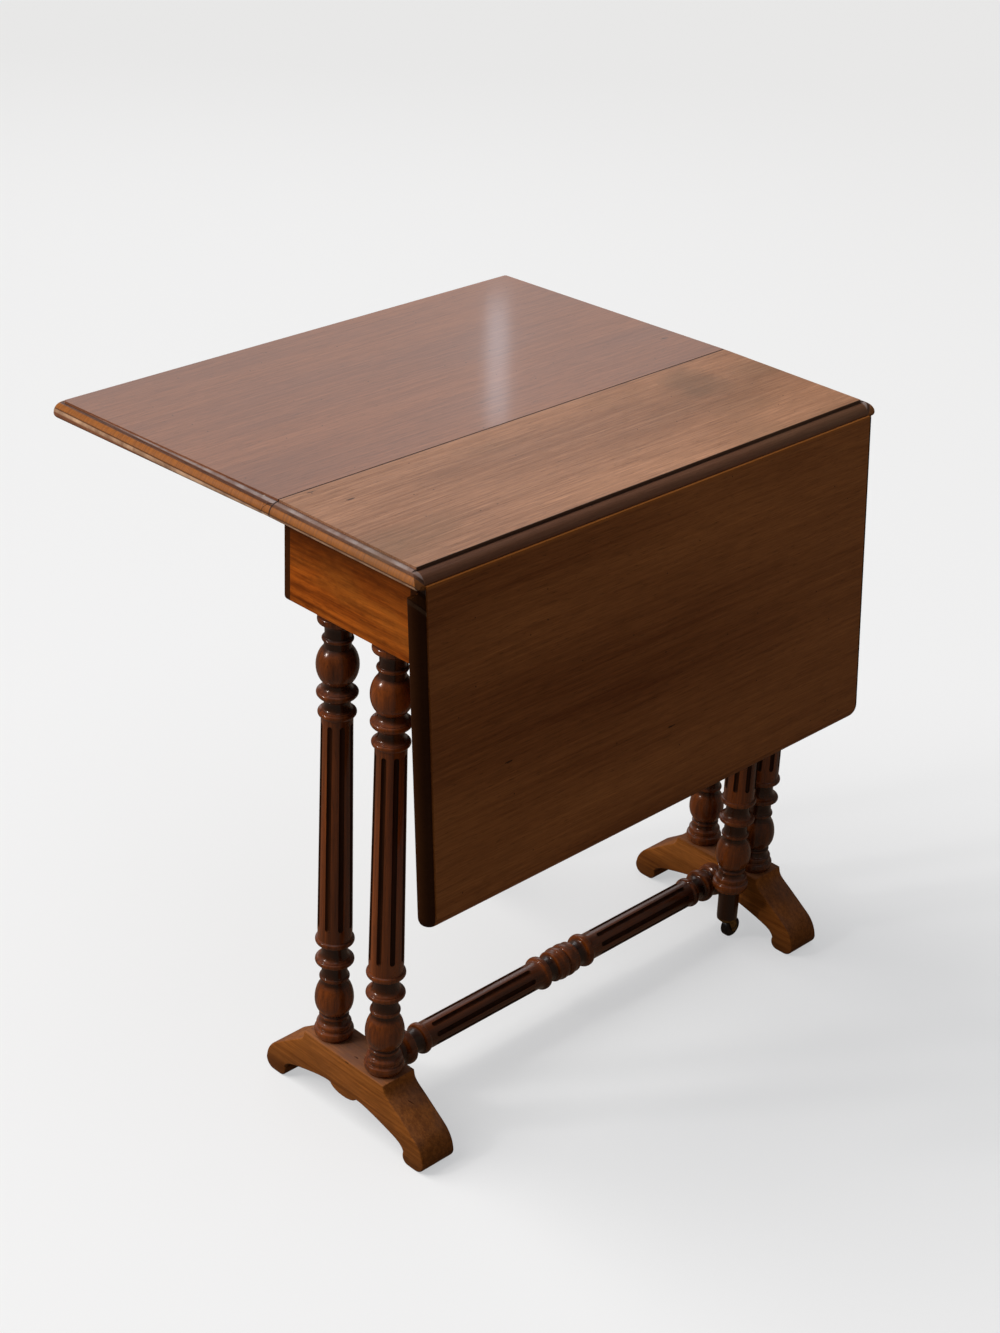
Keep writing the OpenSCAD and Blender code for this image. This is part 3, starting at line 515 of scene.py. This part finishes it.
# The raised leaf keeps more of its polish
left_low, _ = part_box("left_leaf")
left_wood, _ = board_wood("polished_left_leaf", "left_leaf", 1.7, leaf_deep, leaf_light,
                          across=("X", left_low[0]), gain=0.55, fine=250)
dark_seam(left_wood)
dress(left_wood.finish(rough=(0.27, 0.36), gloss=0.38, bump=0.06, coat=0.4, coat_rough=0.1),
      "left_leaf")

# The hanging leaf has darker, more saturated colours than the raised one, painted shade for
# the shade it hangs in. Its polish is duller, its moulded ends are darker still, and a rubbed
# line runs along its hollow's top.
right_low, right_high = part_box("right_leaf")
right_wood, _ = board_wood("polished_right_leaf", "right_leaf", 2.9, hanging_shaded_deep, hanging_shaded_light,
                           across=("Z", right_low[2]), tone=hanging_moulding_dark, gain=0.42, fine=250)
tree = right_wood.tree
from_middle = add_maths(tree, "ABSOLUTE", right_wood.axis("Y"))
field_end = right_high[1] - edge_reach
right_wood.tinge(scaled(tree, from_middle, 0, 1, field_end, field_end + 0.001), hanging_end_tone, 0.92)
joint_arris = scaled(tree, right_wood.axis("Z"), 0, 1,
                     *(right_high[2] - below for below in joint_arris_below))
right_wood.tinge(joint_arris, moulding_amber, 0.42)
dress(right_wood.finish(rough=(0.4, 0.5), gloss=0.16, bump=0.1, tint=hanging_tint), "right_leaf")

# Rails
# The thick end rails, the long side rails and the swinging rails are orange-brown polished
# mahogany with a curly figure. The end rails are painted darker just under the top, painted
# shade of its overhang, and the side and swinging rails have a darker copy of the rail colour,
# painted shade for the shade under the top and leaves. What can't be seen under the top is
# bare wood.
rail_deep = (0.13, 0.022, 0.0015, 1)
rail_light = (0.45, 0.1, 0.008, 1)
rail_golden = (0.38, 0.12, 0.015, 1)
rail_flames = (0.085, 0.015, 0.001, 1)
rail_painted_shade = (0.05, 0.009, 0.001, 1)
rail_painted_shade_z = (0.64, 0.69)
side_shaded_deep = (0.07, 0.018, 0.003, 1)
side_shaded_light = (0.14, 0.042, 0.009, 1)
end_grain_tone = (0.03, 0.008, 0.002, 1)
end_grain_within = (0.0015, 0.0005)
bare_deep = (0.22, 0.12, 0.055, 1)
bare_light = (0.36, 0.22, 0.11, 1)
warm_tint = (1, 0.5, 0.25, 1)


def curl(wood, size, share, tone):
    """Short dark flames along the grain, as figured mahogany has."""
    flames = stretched_noise(wood.tree, wood.board, 0.3, size, 4, 0.68)
    wood.tinge(scaled(wood.tree, flames, 0, 1, 0.46, 0.64), tone, share)


end_wood = Wood("polished_end_rail", "x", 0.9, rail_deep, rail_light, sizes=(12, 190, 700), sway=0.016)
golden = stretched_noise(end_wood.tree, end_wood.board, 0.3, 24, 4, 0.6)
end_wood.tinge(scaled(end_wood.tree, golden, 0, 1, 0.45, 0.66), rail_golden, 0.5)
curl(end_wood, 150, 0.38, rail_flames)
# Painted shade: darker just under the top's overhang
shade_under_top = scaled(end_wood.tree, end_wood.axis("Z"), 0, 1, *rail_painted_shade_z)
end_wood.tinge(shade_under_top, rail_painted_shade, 0.75)
end_wood.marks(dirt_and_shade_colour, size=45, spread=0.03, share=0.07)
end_wood.marks(chip_colour, size=30, spread=0.03, share=0.03, drawn_out=1.0)
dress(end_wood.finish(rough=(0.38, 0.5), gloss=0.12, bump=0.1, tint=warm_tint),
      "end_rail_near", "end_rail_far")

# The side rails' darker colour is painted shade, for the shade under the top and leaves
side_wood = Wood("polished_side_rail", "y", 0.9, side_shaded_deep, side_shaded_light)
side_low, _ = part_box("side_rail_right")
from_middle = add_maths(side_wood.tree, "ABSOLUTE", side_wood.axis("Y"))
end_grain = scaled(side_wood.tree, from_middle, 0, 1,
                   *(-side_low[1] - within for within in end_grain_within))
side_wood.tinge(end_grain, end_grain_tone, 0.75)
side_wood.marks(dirt_and_shade_colour, size=45, spread=0.03, share=0.07)
dress(side_wood.finish(rough=(0.38, 0.5), gloss=0.12, bump=0.1, tint=warm_tint),
      "side_rail_left", "side_rail_right", "rail_stub_left", "rail_stub_right", "fly_rail_right")
# The swinging rail has the same painted shade
swung_wood = Wood("polished_swung_rail", "x", 0.9, side_shaded_deep, side_shaded_light)
dress(swung_wood.finish(rough=(0.38, 0.5), gloss=0.12, bump=0.1, tint=warm_tint), "fly_rail_left")

bare_wood = Wood("bare_inner_wood", "y", 5.1, bare_deep, bare_light)
dress(bare_wood.finish(rough=(0.6, 0.75), gloss=0.3, bump=0.2),
      "inner_rail_left", "inner_rail_right", "glue_block_near_left", "glue_block_near_right",
      "glue_block_far_left", "glue_block_far_right")

# Turned work
# The columns, the swing legs and the stretcher are turned from dark red-brown wood and
# fluted by hand. The necks, grooves and flutes are darkened, for the old polish that has
# blackened them and as painted shade in these hollows. The round members are rubbed, and
# what faces up is laid with grey that is dust and also a painted sheen. Sizes here are in
# millimetres.
mm = 0.001
turned_deep = (0.052, 0.0105, 0.0016, 1)
turned_light = (0.235, 0.052, 0.006, 1)
turned_tint = (1, 0.7, 0.55, 1)
groove_polish_and_shade = (0.011, 0.0032, 0.0012, 1)
dust_and_sheen_tone = (0.085, 0.074, 0.078, 1)
dust_dullness = 0.2
flute_shaded_deep = (0.014, 0.0038, 0.0012, 1)
flute_shaded_light = (0.048, 0.012, 0.0026, 1)
groove_r = 13.8
member_r = 17.4

groove_group, given, put = new_group(
    "turned_groove", {"Vector": (0, 0, 0), "Axis Place": (0, 0, 0), "Outward": (1, 1, 0),
                      "Groove Radius": 0.014, "Member Radius": 0.02}, ("Groove",))
off_axis = add(groove_group, "ShaderNodeVectorMath", {0: given["Vector"], 1: given["Axis Place"]},
               operation="SUBTRACT")
outward = add(groove_group, "ShaderNodeVectorMath", {0: off_axis.outputs[0], 1: given["Outward"]},
              operation="MULTIPLY")
radius = add(groove_group, "ShaderNodeVectorMath", {0: outward.outputs[0]}, operation="LENGTH")
groove = scaled(groove_group, radius.outputs["Value"], 1.0, 0.0,
                given["Groove Radius"], given["Member Radius"])
groove_group.links.new(groove, put["Groove"])

# Grey on what faces up: dust, and also a painted sheen of the pale light above
dust_and_sheen_group, given, put = new_group(
    "dust_and_painted_sheen", {"Vector": (0, 0, 0), "Size": 30.0, "Least": 0.55}, ("Dust and Sheen",))
facing = add(dust_and_sheen_group, "ShaderNodeNewGeometry")
facing_parts = add(dust_and_sheen_group, "ShaderNodeSeparateXYZ", {0: facing.outputs["Normal"]})
upward = scaled(dust_and_sheen_group, facing_parts.outputs["Z"], 0, 1, given["Least"], 1.0)
patches = add(dust_and_sheen_group, "ShaderNodeTexNoise", {
    "Vector": given["Vector"], "Scale": given["Size"], "Detail": 4})
patchy = scaled(dust_and_sheen_group, patches.outputs[0], 0.3, 1, 0.35, 0.65)
dust_and_sheen_group.links.new(add_maths(dust_and_sheen_group, "MULTIPLY", upward, patchy), put["Dust and Sheen"])


def lay_dust_and_sheen(wood, share, size=30.0, least=0.55):
    """Grey dust on what faces up more than least, in soft patches, which also stands as a painted
    sheen there. It also dulls the polish.
    """
    group = add(wood.tree, "ShaderNodeGroup", node_tree=dust_and_sheen_group)
    wood.tree.links.new(wood.place, group.inputs["Vector"])
    group.inputs["Size"].default_value = size
    group.inputs["Least"].default_value = least
    wood.tinge(group.outputs[0], dust_and_sheen_tone, share)
    wood.extra_rough = add_maths(wood.tree, "MULTIPLY", group.outputs[0], dust_dullness)


# Half sections of the turned bands: place along the axis, radius, and the form of the member
# that ends there. The upper band is told from the rail down, the lower from the foot up,
# and the stretcher from its middle to its end.
upper_band = [
    (0, 15.6, "line"), (1.6, 15.6, "line"), (3.4, 18.6, "cove"), (4.2, 18.8, "line"),
    (4.6, 19.6, "line"), (8.4, 21.3, "swell"), (12.2, 19.4, "swell"), (12.8, 18.2, "line"),
    (20.5, 13.7, "cove"), (25.5, 13.5, "line"), (28.6, 14.6, "cove"), (30.6, 16.5, "swell"),
    (32.6, 15.2, "swell"), (33, 14.4, "line"), (40, 14.2, "cove"), (60.5, 22.4, "ball"),
    (80.4, 14.8, "ball"), (81.6, 13.9, "line"), (88.4, 18.6, "cove"), (88.9, 19.7, "line"),
    (89.4, 19.4, "line"), (92, 21.9, "swell"), (95.2, 20.4, "swell"), (97, 18.2, "swell"),
    (104, 13.8, "cove"), (105.4, 13.8, "line"), (111.6, 17.4, "cove"), (112, 18.4, "line"),
    (112.5, 18.2, "line"), (115, 20.3, "swell"), (118, 18.8, "swell"), (119.2, 17.2, "swell"),
    (121, 16.8, "cove"), (126, 16.75, "line")]
lower_band = [
    (0, 19.4, "line"), (2.2, 19.6, "line"), (2.6, 20.4, "line"), (6.6, 22, "swell"),
    (11, 20.2, "swell"), (11.4, 19.2, "line"), (13.4, 18.4, "cove"), (16.2, 19.4, "swell"),
    (18.6, 18.2, "swell"), (19, 17.2, "line"), (25, 14.6, "cove"), (27, 16.5, "swell"),
    (29, 15.4, "swell"), (29.4, 14.6, "line"), (30.4, 14.4, "line"), (48.6, 21.5, "ball"),
    (71, 14.4, "ball"), (74, 14.2, "line"), (75.2, 15.4, "cove"), (77.4, 16.6, "swell"),
    (79.6, 15.2, "swell"), (88, 14, "cove"), (92, 14.2, "line"), (95.6, 17.6, "cove"),
    (96.4, 18.8, "line"), (99.6, 21.4, "swell"), (102.2, 20, "swell"), (102.7, 18.9, "line"),
    (103.2, 19.1, "line"), (110.6, 14.2, "cove"), (117, 14, "line"), (121.4, 17, "cove"),
    (122, 18.4, "line"), (125.6, 21.4, "swell"), (128.6, 20, "swell"), (129, 18.9, "line"),
    (131.4, 18.7, "cove"), (140, 18.95, "line")]
stretcher_half_band = [
    (0, 17.4, "line"), (0.8, 17.6, "line"), (5.4, 19.9, "swell"), (9.4, 19, "swell"),
    (13, 18.4, "line"), (15.4, 18.7, "swell"), (17.4, 17.2, "swell"), (17.8, 15.8, "line"),
    (22.6, 13.8, "cove"), (26, 14, "line"), (31, 17.4, "cove"), (31.6, 18.6, "line"),
    (35.8, 20.2, "swell"), (39, 19, "swell"), (39.5, 18.2, "line"), (48, 16.3, "cove"),
    (218, 16.2, "line"), (221, 17, "cove"), (224.4, 18.4, "swell"), (228.6, 16.6, "swell"),
    (229, 15.4, "line"), (235, 13.8, "cove"), (240, 14.2, "cove"), (243.6, 18.2, "cove"),
    (244.2, 19, "line"), (248.5, 20.6, "swell"), (253.6, 18.4, "swell"), (256, 16.4, "line"),
    (260.6, 14.6, "cove"), (263, 16.6, "cove"), (265.2, 18.8, "line"), (271, 20.6, "swell"),
    (278, 19.2, "swell"), (284, 17.6, "line")]
ball_turn = math.radians(58)
column_bottom = 82
column_top = 602
tenon_r = 9.9
end_round = 0.8
low_end_share, low_root_share, high_end_share = 0.99, 1.03, 0.96
crease = math.radians(34)

# A leg's turning sits lower than a column's, with a peg below, a head above and an arm to its rail
leg_drop = 8.2
leg_head_r = 22
peg_r = 12.6
arm_half_w = 14.74
arm_least_reach = 23
arm_low_z = 604.4
arm_bevel = 0.8
bodies = {"leg_left": "gate_left", "leg_right": "gate_right"}
leg_castors = {"leg_left": "castor_socket_left", "leg_right": "castor_socket_right"}

# The flutes are cut by a round-ended tool whose middle runs just outside the shaft
flute_count = 8
flute_r = 3.2
flute_out = 1.2
flute_inset = 3.84
flute_corners = 9
land_corners = 4
uncut_half_turn = math.radians(9)
ring_insets = (0.25, 0.45, 0.8, 1.3, 2.0, 3.2)


def member_curve(form, growing, part):
    """How far along and out a member is at a part of its turn: a swell is full, a cove is
    hollow, and a ball is a piece of a round."""
    if form == "ball":
        turn = ball_turn * (1 - part if growing else part)
        along = math.sin(turn) / math.sin(ball_turn)
        out = (1 - math.cos(turn)) / (1 - math.cos(ball_turn))
        return (1 - along, 1 - out) if growing else (along, out)
    turn = math.pi / 2 * part
    if (form == "swell") == growing:
        return 1 - math.cos(turn), math.sin(turn)
    return math.sin(turn), 1 - math.cos(turn)


def half_section(members, steps=6):
    """The points of a turned half section, from its members."""
    points = [members[0][:2]]
    for height, radius, form in members[1:]:
        from_height, from_radius = points[-1]
        if form == "line":
            points.append((height, radius))
            continue
        for step in range(1, steps + 1):
            along, out = member_curve(form, radius > from_radius, step / steps)
            points.append((from_height + (height - from_height) * along,
                           from_radius + (radius - from_radius) * out))
    return points


def flute_reach(height, flutes):
    """The cutter's radius at this height: it is round-ended, so it runs out at a flute's ends."""
    reach = 0.0
    for low, high in flutes:
        if low < height < high:
            past = max(low + flute_r - height, height - high + flute_r, 0.0)
            reach = math.sqrt(max(flute_r ** 2 - past ** 2, 0.0))
    return reach


def with_flute_rings(points, flutes):
    """Adds the rings that a flute's round ends and its length need."""
    heights = []
    for low, high in flutes:
        heights += [low + inset for inset in ring_insets] + [high - inset for inset in ring_insets]
    for low, high in flutes:
        heights += [low + (high - low) * share / 8 for share in range(1, 8)]
    for height in heights:
        for place, (first, second) in enumerate(zip(points, points[1:])):
            if first[0] < height < second[0]:
                share = (height - first[0]) / (second[0] - first[0])
                points.insert(place + 1, (height, first[1] + (second[1] - first[1]) * share))
                break
    return points


def ring_corners(radius, reach):
    """Angles and radii round one ring, across each flute and then along the land beside it."""
    centre = radius + flute_out
    half = uncut_half_turn
    if reach > flute_out:
        half = math.acos((centre ** 2 + radius ** 2 - reach ** 2) / (2 * centre * radius))
    pitch = 2 * math.pi / flute_count
    side_corners = flute_corners // 2
    corners = []
    for flute in range(flute_count):
        middle = (flute + 0.5) * pitch
        for step in range(-side_corners, side_corners + 1):
            turn = half * step / side_corners
            depth = radius
            if reach > flute_out:
                root = max(reach ** 2 - (centre * math.sin(turn)) ** 2, 0.0)
                depth = min(radius, centre * math.cos(turn) - math.sqrt(root))
            corners.append((middle + turn, depth))
        land = pitch - 2 * half
        corners += [(middle + half + land * step / (land_corners + 1), radius)
                    for step in range(1, land_corners + 1)]
    return corners


def lathe(points, flutes, place):
    """Turns a half section and cuts its flutes. place sets a corner of it in the scene, and
    the third result lists the faces that lie in a flute."""
    rings = [[(radius * math.cos(turn), radius * math.sin(turn), height)
              for turn, radius in ring_corners(outer, flute_reach(height, flutes))]
             for height, outer in points]
    count = len(rings[0])
    corners = [place(*corner) for ring in rings for corner in ring]
    faces = []
    hollow = []
    for row, ((first, _), (second, _)) in enumerate(zip(points, points[1:])):
        is_cut = flute_reach((first + second) / 2, flutes) > flute_out
        start = row * count
        for step in range(count):
            beside = (step + 1) % count
            if is_cut and step % (flute_corners + land_corners) < flute_corners - 1:
                hollow.append(len(faces))
            faces.append((start + step, start + beside, start + count + beside, start + count + step))
    faces.append(tuple(reversed(range(count))))
    faces.append(tuple(range(len(corners) - count, len(corners))))
    return corners, faces, hollow


def add_block(low, high, bevel, corners, faces):
    """Adds a block with its upright and level edges taken off."""
    start = len(corners)
    for axis in range(3):
        for side in (low, high):
            flat = [[low[i] + bevel, high[i] - bevel] for i in range(3)]
            flat[axis] = [side[axis]]
            corners += [(x, y, z) for x in flat[0] for y in flat[1] for z in flat[2]]
    quads = [(0, 1, 3, 2), (4, 6, 7, 5), (8, 10, 11, 9), (12, 13, 15, 14), (16, 17, 19, 18),
             (20, 22, 23, 21), (0, 1, 9, 8), (2, 3, 13, 12), (4, 5, 11, 10), (6, 7, 15, 14),
             (0, 2, 17, 16), (4, 6, 19, 18), (1, 3, 21, 20), (5, 7, 23, 22), (8, 10, 18, 16),
             (12, 14, 19, 17), (9, 11, 22, 20), (13, 15, 23, 21)]
    faces += [tuple(start + corner for corner in quad) for quad in quads]


def make_piece(name, corners, faces, body, node):
    """A piece of the scene that rides a body and stands for a node of the frame."""
    mesh = bpy.data.meshes.new(name)
    mesh.from_pydata(corners, [], faces)
    mesh.validate()
    mesh.shade_smooth()
    mesh.set_sharp_from_angle(angle=crease)
    piece = bpy.data.objects.new(name, mesh)
    bpy.context.scene.collection.objects.link(piece)
    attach(piece, body)
    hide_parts(node)
    return piece


def turned_axis(node):
    """The middle of the turning. A leg's box also holds its arm, so its castor tells it."""
    low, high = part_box(leg_castors.get(node, node))
    return [(a + b) / 2 for a, b in zip(low, high)]


def turned_wood(node, grain, shift):
    wood = Wood("turned_" + node, grain, shift, turned_deep, turned_light, sizes=(22, 160, 700),
                streak_gain=0.7)
    group = add(wood.tree, "ShaderNodeGroup", node_tree=groove_group)
    wood.tree.links.new(wood.place, group.inputs["Vector"])
    group.inputs["Axis Place"].default_value = turned_axis(node)
    group.inputs["Outward"].default_value = (1, 0, 1) if grain == "y" else (1, 1, 0)
    group.inputs["Groove Radius"].default_value = groove_r * mm
    group.inputs["Member Radius"].default_value = member_r * mm
    # Painted shade with old polish: darker where the turning's radius is small, in necks and grooves
    wood.tinge(group.outputs[0], groove_polish_and_shade, 0.92)
    lay_dust_and_sheen(wood, 0.35, least=0.4)
    return wood.finish(rough=(0.22, 0.3), gloss=0.3, bump=0.05, tint=turned_tint, coat=1.0,
                       coat_rough=0.15)


# The flutes' near-black colour is old dirt and painted shade in the hollows
flute_wood = Wood("shaded_blackened_flutes", "z", 3.3, flute_shaded_deep, flute_shaded_light, sizes=(40, 160, 700))
flute_finish = flute_wood.finish(rough=(0.4, 0.5), gloss=0.2, bump=0.05, tint=turned_tint)


def finish_turning(piece, wood, hollow):
    """Polished wood all over, with the flutes darkened by old dirt and painted shade."""
    piece.data.materials.append(wood)
    piece.data.materials.append(flute_finish)
    for face in hollow:
        piece.data.polygons[face].material_index = 1


def upright_turning(node, shift):
    """A column with its tenons, or a swing leg with its head, its arm and its peg."""
    low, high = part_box(node)
    axis_x, axis_y, _ = turned_axis(node)
    is_leg = node in bodies
    drop = leg_drop if is_leg else 0
    bottom, top = column_bottom - drop, column_top - drop
    low_end, high_end = low[2] / mm, high[2] / mm
    under_r, over_r = (peg_r, leg_head_r) if is_leg else (tenon_r, tenon_r)
    upper = [(top - depth, radius) for depth, radius in reversed(half_section(upper_band))]
    lower = [(bottom + height, radius) for height, radius in half_section(lower_band)]
    flutes = [(lower[-1][0] + flute_inset, upper[0][0])]
    points = [(low_end, under_r * low_end_share), (low_end + end_round, under_r),
              (bottom, under_r * low_root_share)]
    points += lower + upper
    points += [(top, over_r), (high_end - end_round, over_r), (high_end, over_r * high_end_share)]
    corners, faces, hollow = lathe(with_flute_rings(points, flutes), flutes,
                                   lambda x, y, z: (axis_x + x * mm, axis_y + y * mm, z * mm))
    if is_leg:
        half_w, least_reach = arm_half_w * mm, arm_least_reach * mm
        arm_low = [axis_x - half_w, axis_y - half_w, arm_low_z * mm]
        arm_high = [axis_x + half_w, axis_y + half_w, high[2]]
        for axis, middle in ((0, axis_x), (1, axis_y)):
            if middle - low[axis] > least_reach:
                arm_low[axis] = low[axis]
            if high[axis] - middle > least_reach:
                arm_high[axis] = high[axis]
        add_block(arm_low, arm_high, arm_bevel * mm, corners, faces)
    body = bodies.get(node, "frame")
    piece = make_piece(node + "_turned", corners, faces, body, node)
    finish_turning(piece, turned_wood(node, "z", shift), hollow)


for shift, node in enumerate(("column_near_left", "column_near_right", "column_far_left",
                              "column_far_right", "leg_left", "leg_right")):
    upright_turning(node, 0.4 + shift)

# The stretcher's turning sits a little towards the far foot, as the photograph has it
stretcher_flutes = (55.4, 211.6)
stretcher_shift = 8.5
stretcher_half = 284
stretcher_end_r = 17.6
stretcher_tenon_r = 8.118
_, rod_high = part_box("stretcher")
rod_x, rod_y, rod_z = turned_axis("stretcher")
half_points = half_section(stretcher_half_band)
rod_reach = (rod_high[1] - rod_y) / mm
near_face = stretcher_half + stretcher_shift
far_face = stretcher_half - stretcher_shift
away = [point for point in half_points if point[0] < far_face]
points = [(-rod_reach, stretcher_tenon_r), (-near_face, stretcher_tenon_r), (-near_face, stretcher_end_r)]
points += [(-height, radius) for height, radius in reversed(half_points)] + away[1:]
points += [(far_face, away[-1][1]), (far_face, stretcher_tenon_r), (rod_reach, stretcher_tenon_r)]
flutes = [(-stretcher_flutes[1], -stretcher_flutes[0]), stretcher_flutes]


def along_rod(x, y, z):
    return rod_x + y * mm, rod_y + (stretcher_shift + z) * mm, rod_z + x * mm


corners, faces, hollow = lathe(with_flute_rings(points, flutes), flutes, along_rod)
piece = make_piece("stretcher_turned", corners, faces, "frame", "stretcher")
finish_turning(piece, turned_wood("stretcher", "y", 9.4), hollow)

# Feet
# The two trestle feet are sawn from thick brown boards, with the grain along them, and
# polished. Their flat tops are grey with dust and a painted sheen, they are darker towards
# the floor, and the edges are rubbed. Sizes here are in millimetres from the foot's middle
# and the floor.
foot_deep = (0.15, 0.04, 0.0055, 1)
foot_light = (0.37, 0.122, 0.024, 1)
foot_flames = (0.06, 0.02, 0.006, 1)
foot_darkening_z = (0.002, 0.045)
foot_wood = Wood("polished_foot", "x", 2.2, foot_deep, foot_light, sizes=(10, 230, 700),
                 streak_gain=0.7)
curl(foot_wood, 80, 0.2, foot_flames)
lay_dust_and_sheen(foot_wood, 0.5, size=24.0, least=0.35)
foot_wood.marks(dirt_and_shade_colour, size=45, spread=0.04, share=0.1)
# Darker towards the floor, over the lowest 45 mm of the foot
darker_to_floor = scaled(foot_wood.tree, foot_wood.axis("Z"), 1, 0, *foot_darkening_z)
foot_wood.tinge(darker_to_floor, dirt_and_shade_colour, 0.55)
foot_finish = foot_wood.finish(rough=(0.36, 0.48), gloss=0.16, bump=0.12, tint=warm_tint)

# The line under the arch, from the lobe that hangs in the middle out to the pad
under_line = [
    (0, 30.5), (6, 30.8), (12, 32), (16.5, 33.8), (19.6, 36), (20.8, 37.6), (23, 38), (30, 37.6),
    (40, 36), (50, 33.8), (60, 31.4), (70, 28.8), (80, 26), (87, 23.6), (92, 21.2), (95.4, 18.4),
    (97.4, 15.2), (98, 13.2), (97.2, 12.4), (97, 9.6)]
pad_inner_middle = (106.4, 9.4)
pad_inner_r = 9.4
pad_outer_middle = (117.6, 12.4)
pad_outer_r = 12.4
toe_middle = (92.8, 8.95)
toe_r = 37.2
toe_turns = (4.7, 55.3)
slope_top = (85.02, 59.6)
slope_pull = (76.2, 65.7)
shoulder_pull = (67, 69.5)
shoulder_top = (65.9, 77)
block_half = 65
block_round = 1.2
foot_rise = 82
foot_edge = 1.7
foot_edge_turns = (90, 60, 30, 0)
least_step = 0.05


def round_part(middle, radius, start, stop, steps=7):
    """A part of a round, between two angles in degrees."""
    turns = [math.radians(start + (stop - start) * step / steps) for step in range(steps + 1)]
    return [(middle[0] + radius * math.cos(turn), middle[1] + radius * math.sin(turn)) for turn in turns]


def pulled_curve(ends, steps=9):
    """A curve between the first and the last of four places, pulled towards the two others."""
    points = []
    for step in range(steps + 1):
        there = step / steps
        here = 1 - there
        weights = (here ** 3, 3 * here ** 2 * there, 3 * here * there ** 2, there ** 3)
        points.append(tuple(sum(w * end[i] for w, end in zip(weights, ends)) for i in (0, 1)))
    return points


right_side = under_line + round_part(pad_inner_middle, pad_inner_r, 180, 270)[1:]
right_side += round_part(pad_outer_middle, pad_outer_r, 270, 360)
right_side += round_part(toe_middle, toe_r, *toe_turns, 14)
right_side += pulled_curve((slope_top, slope_pull, shoulder_pull, shoulder_top))
right_side += round_part((block_half - block_round, foot_rise - block_round), block_round, 0, 90, 4)
right_side = [point for place, point in enumerate(right_side)
              if not place or math.dist(point, right_side[place - 1]) > least_step]
outline = right_side + [(-x, z) for x, z in reversed(right_side) if x]
outward = []
for place, point in enumerate(outline):
    before, after = outline[place - 1], outline[(place + 1) % len(outline)]
    run_x, run_z = after[0] - before[0], after[1] - before[1]
    length = math.hypot(run_x, run_z)
    outward.append((run_z / length, -run_x / length))


def sawn_foot(node):
    """Layers of the outline through the board, drawn in towards its two faces."""
    low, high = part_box(node)
    middle_x, middle_y = (low[0] + high[0]) / 2, (low[1] + high[1]) / 2
    half_t = (high[1] - low[1]) / 2 / mm
    layers = []
    for turn in foot_edge_turns:
        turn = math.radians(turn)
        layers.append((foot_edge * (1 - math.cos(turn)), foot_edge * (1 - math.sin(turn)) - half_t))
    layers += [(inset, -along) for inset, along in reversed(layers)]
    corners = [(middle_x + (x - out_x * inset) * mm, middle_y + along * mm, (z - out_z * inset) * mm)
               for inset, along in layers for (x, z), (out_x, out_z) in zip(outline, outward)]
    count = len(outline)
    faces = []
    for start in range(0, len(corners) - count, count):
        for step in range(count):
            beside = (step + 1) % count
            faces.append((start + step, start + beside, start + count + beside, start + count + step))
    faces += [tuple(reversed(range(count))), tuple(range(len(corners) - count, len(corners)))]
    piece = make_piece(node + "_sawn", corners, faces, "frame", node)
    piece.data.materials.append(foot_finish)


sawn_foot("foot_near")
sawn_foot("foot_far")

# Hinges, screws, pins and castors
# Aged brass flaps, sockets and horns, plain iron screws and pins gone brown, and black
# glazed castor wheels worn dull on the tread.
brass_colour = (0.42, 0.28, 0.1, 1)
iron_colour = (0.2, 0.18, 0.165, 1)
wheel_colour = (0.012, 0.011, 0.01, 1)
tarnish_share = 0.45


def aged(name, colour, rough, metallic):
    """A metal or glaze that is mottled with darker, duller patches."""
    material, tree, output = new_material(name)
    place = add(tree, "ShaderNodeTexCoord").outputs["Object"]
    spots = add(tree, "ShaderNodeTexNoise", {"Vector": place, "Scale": 260, "Detail": 4}).outputs[0]
    tarnish = tuple(part * tarnish_share for part in colour[:3]) + (1,)
    tone = mixed(tree, scaled(tree, spots, 0, 1, 0.35, 0.65), tarnish, colour)
    shine = scaled(tree, spots, rough + 0.15, rough - 0.1, 0.35, 0.65)
    relief = add(tree, "ShaderNodeBump", {"Strength": 0.15, "Distance": 0.0003, "Height": spots})
    shader = add(tree, "ShaderNodeBsdfPrincipled", {
        "Base Color": tone, "Roughness": shine, "Metallic": metallic, "Normal": relief.outputs[0]})
    tree.links.new(shader.outputs[0], output.inputs["Surface"])
    return material


brass = aged("aged_brass", brass_colour, 0.4, 1.0)
iron = aged("old_iron", iron_colour, 0.45, 1.0)
black = aged("black_wheel", wheel_colour, 0.4, 0.0)
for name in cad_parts:
    if name.startswith(("fixed_flap_screws", "leaf_flap_screws", "block_screws", "leg_screws",
                        "knuckle_pin", "hinge_pin", "castor_axle")):
        dress(iron, name)
    elif name.startswith(("fixed_flap", "leaf_flap", "castor_socket", "castor_horn")):
        dress(brass, name)
    elif name.startswith("castor_wheel"):
        dress(black, name)
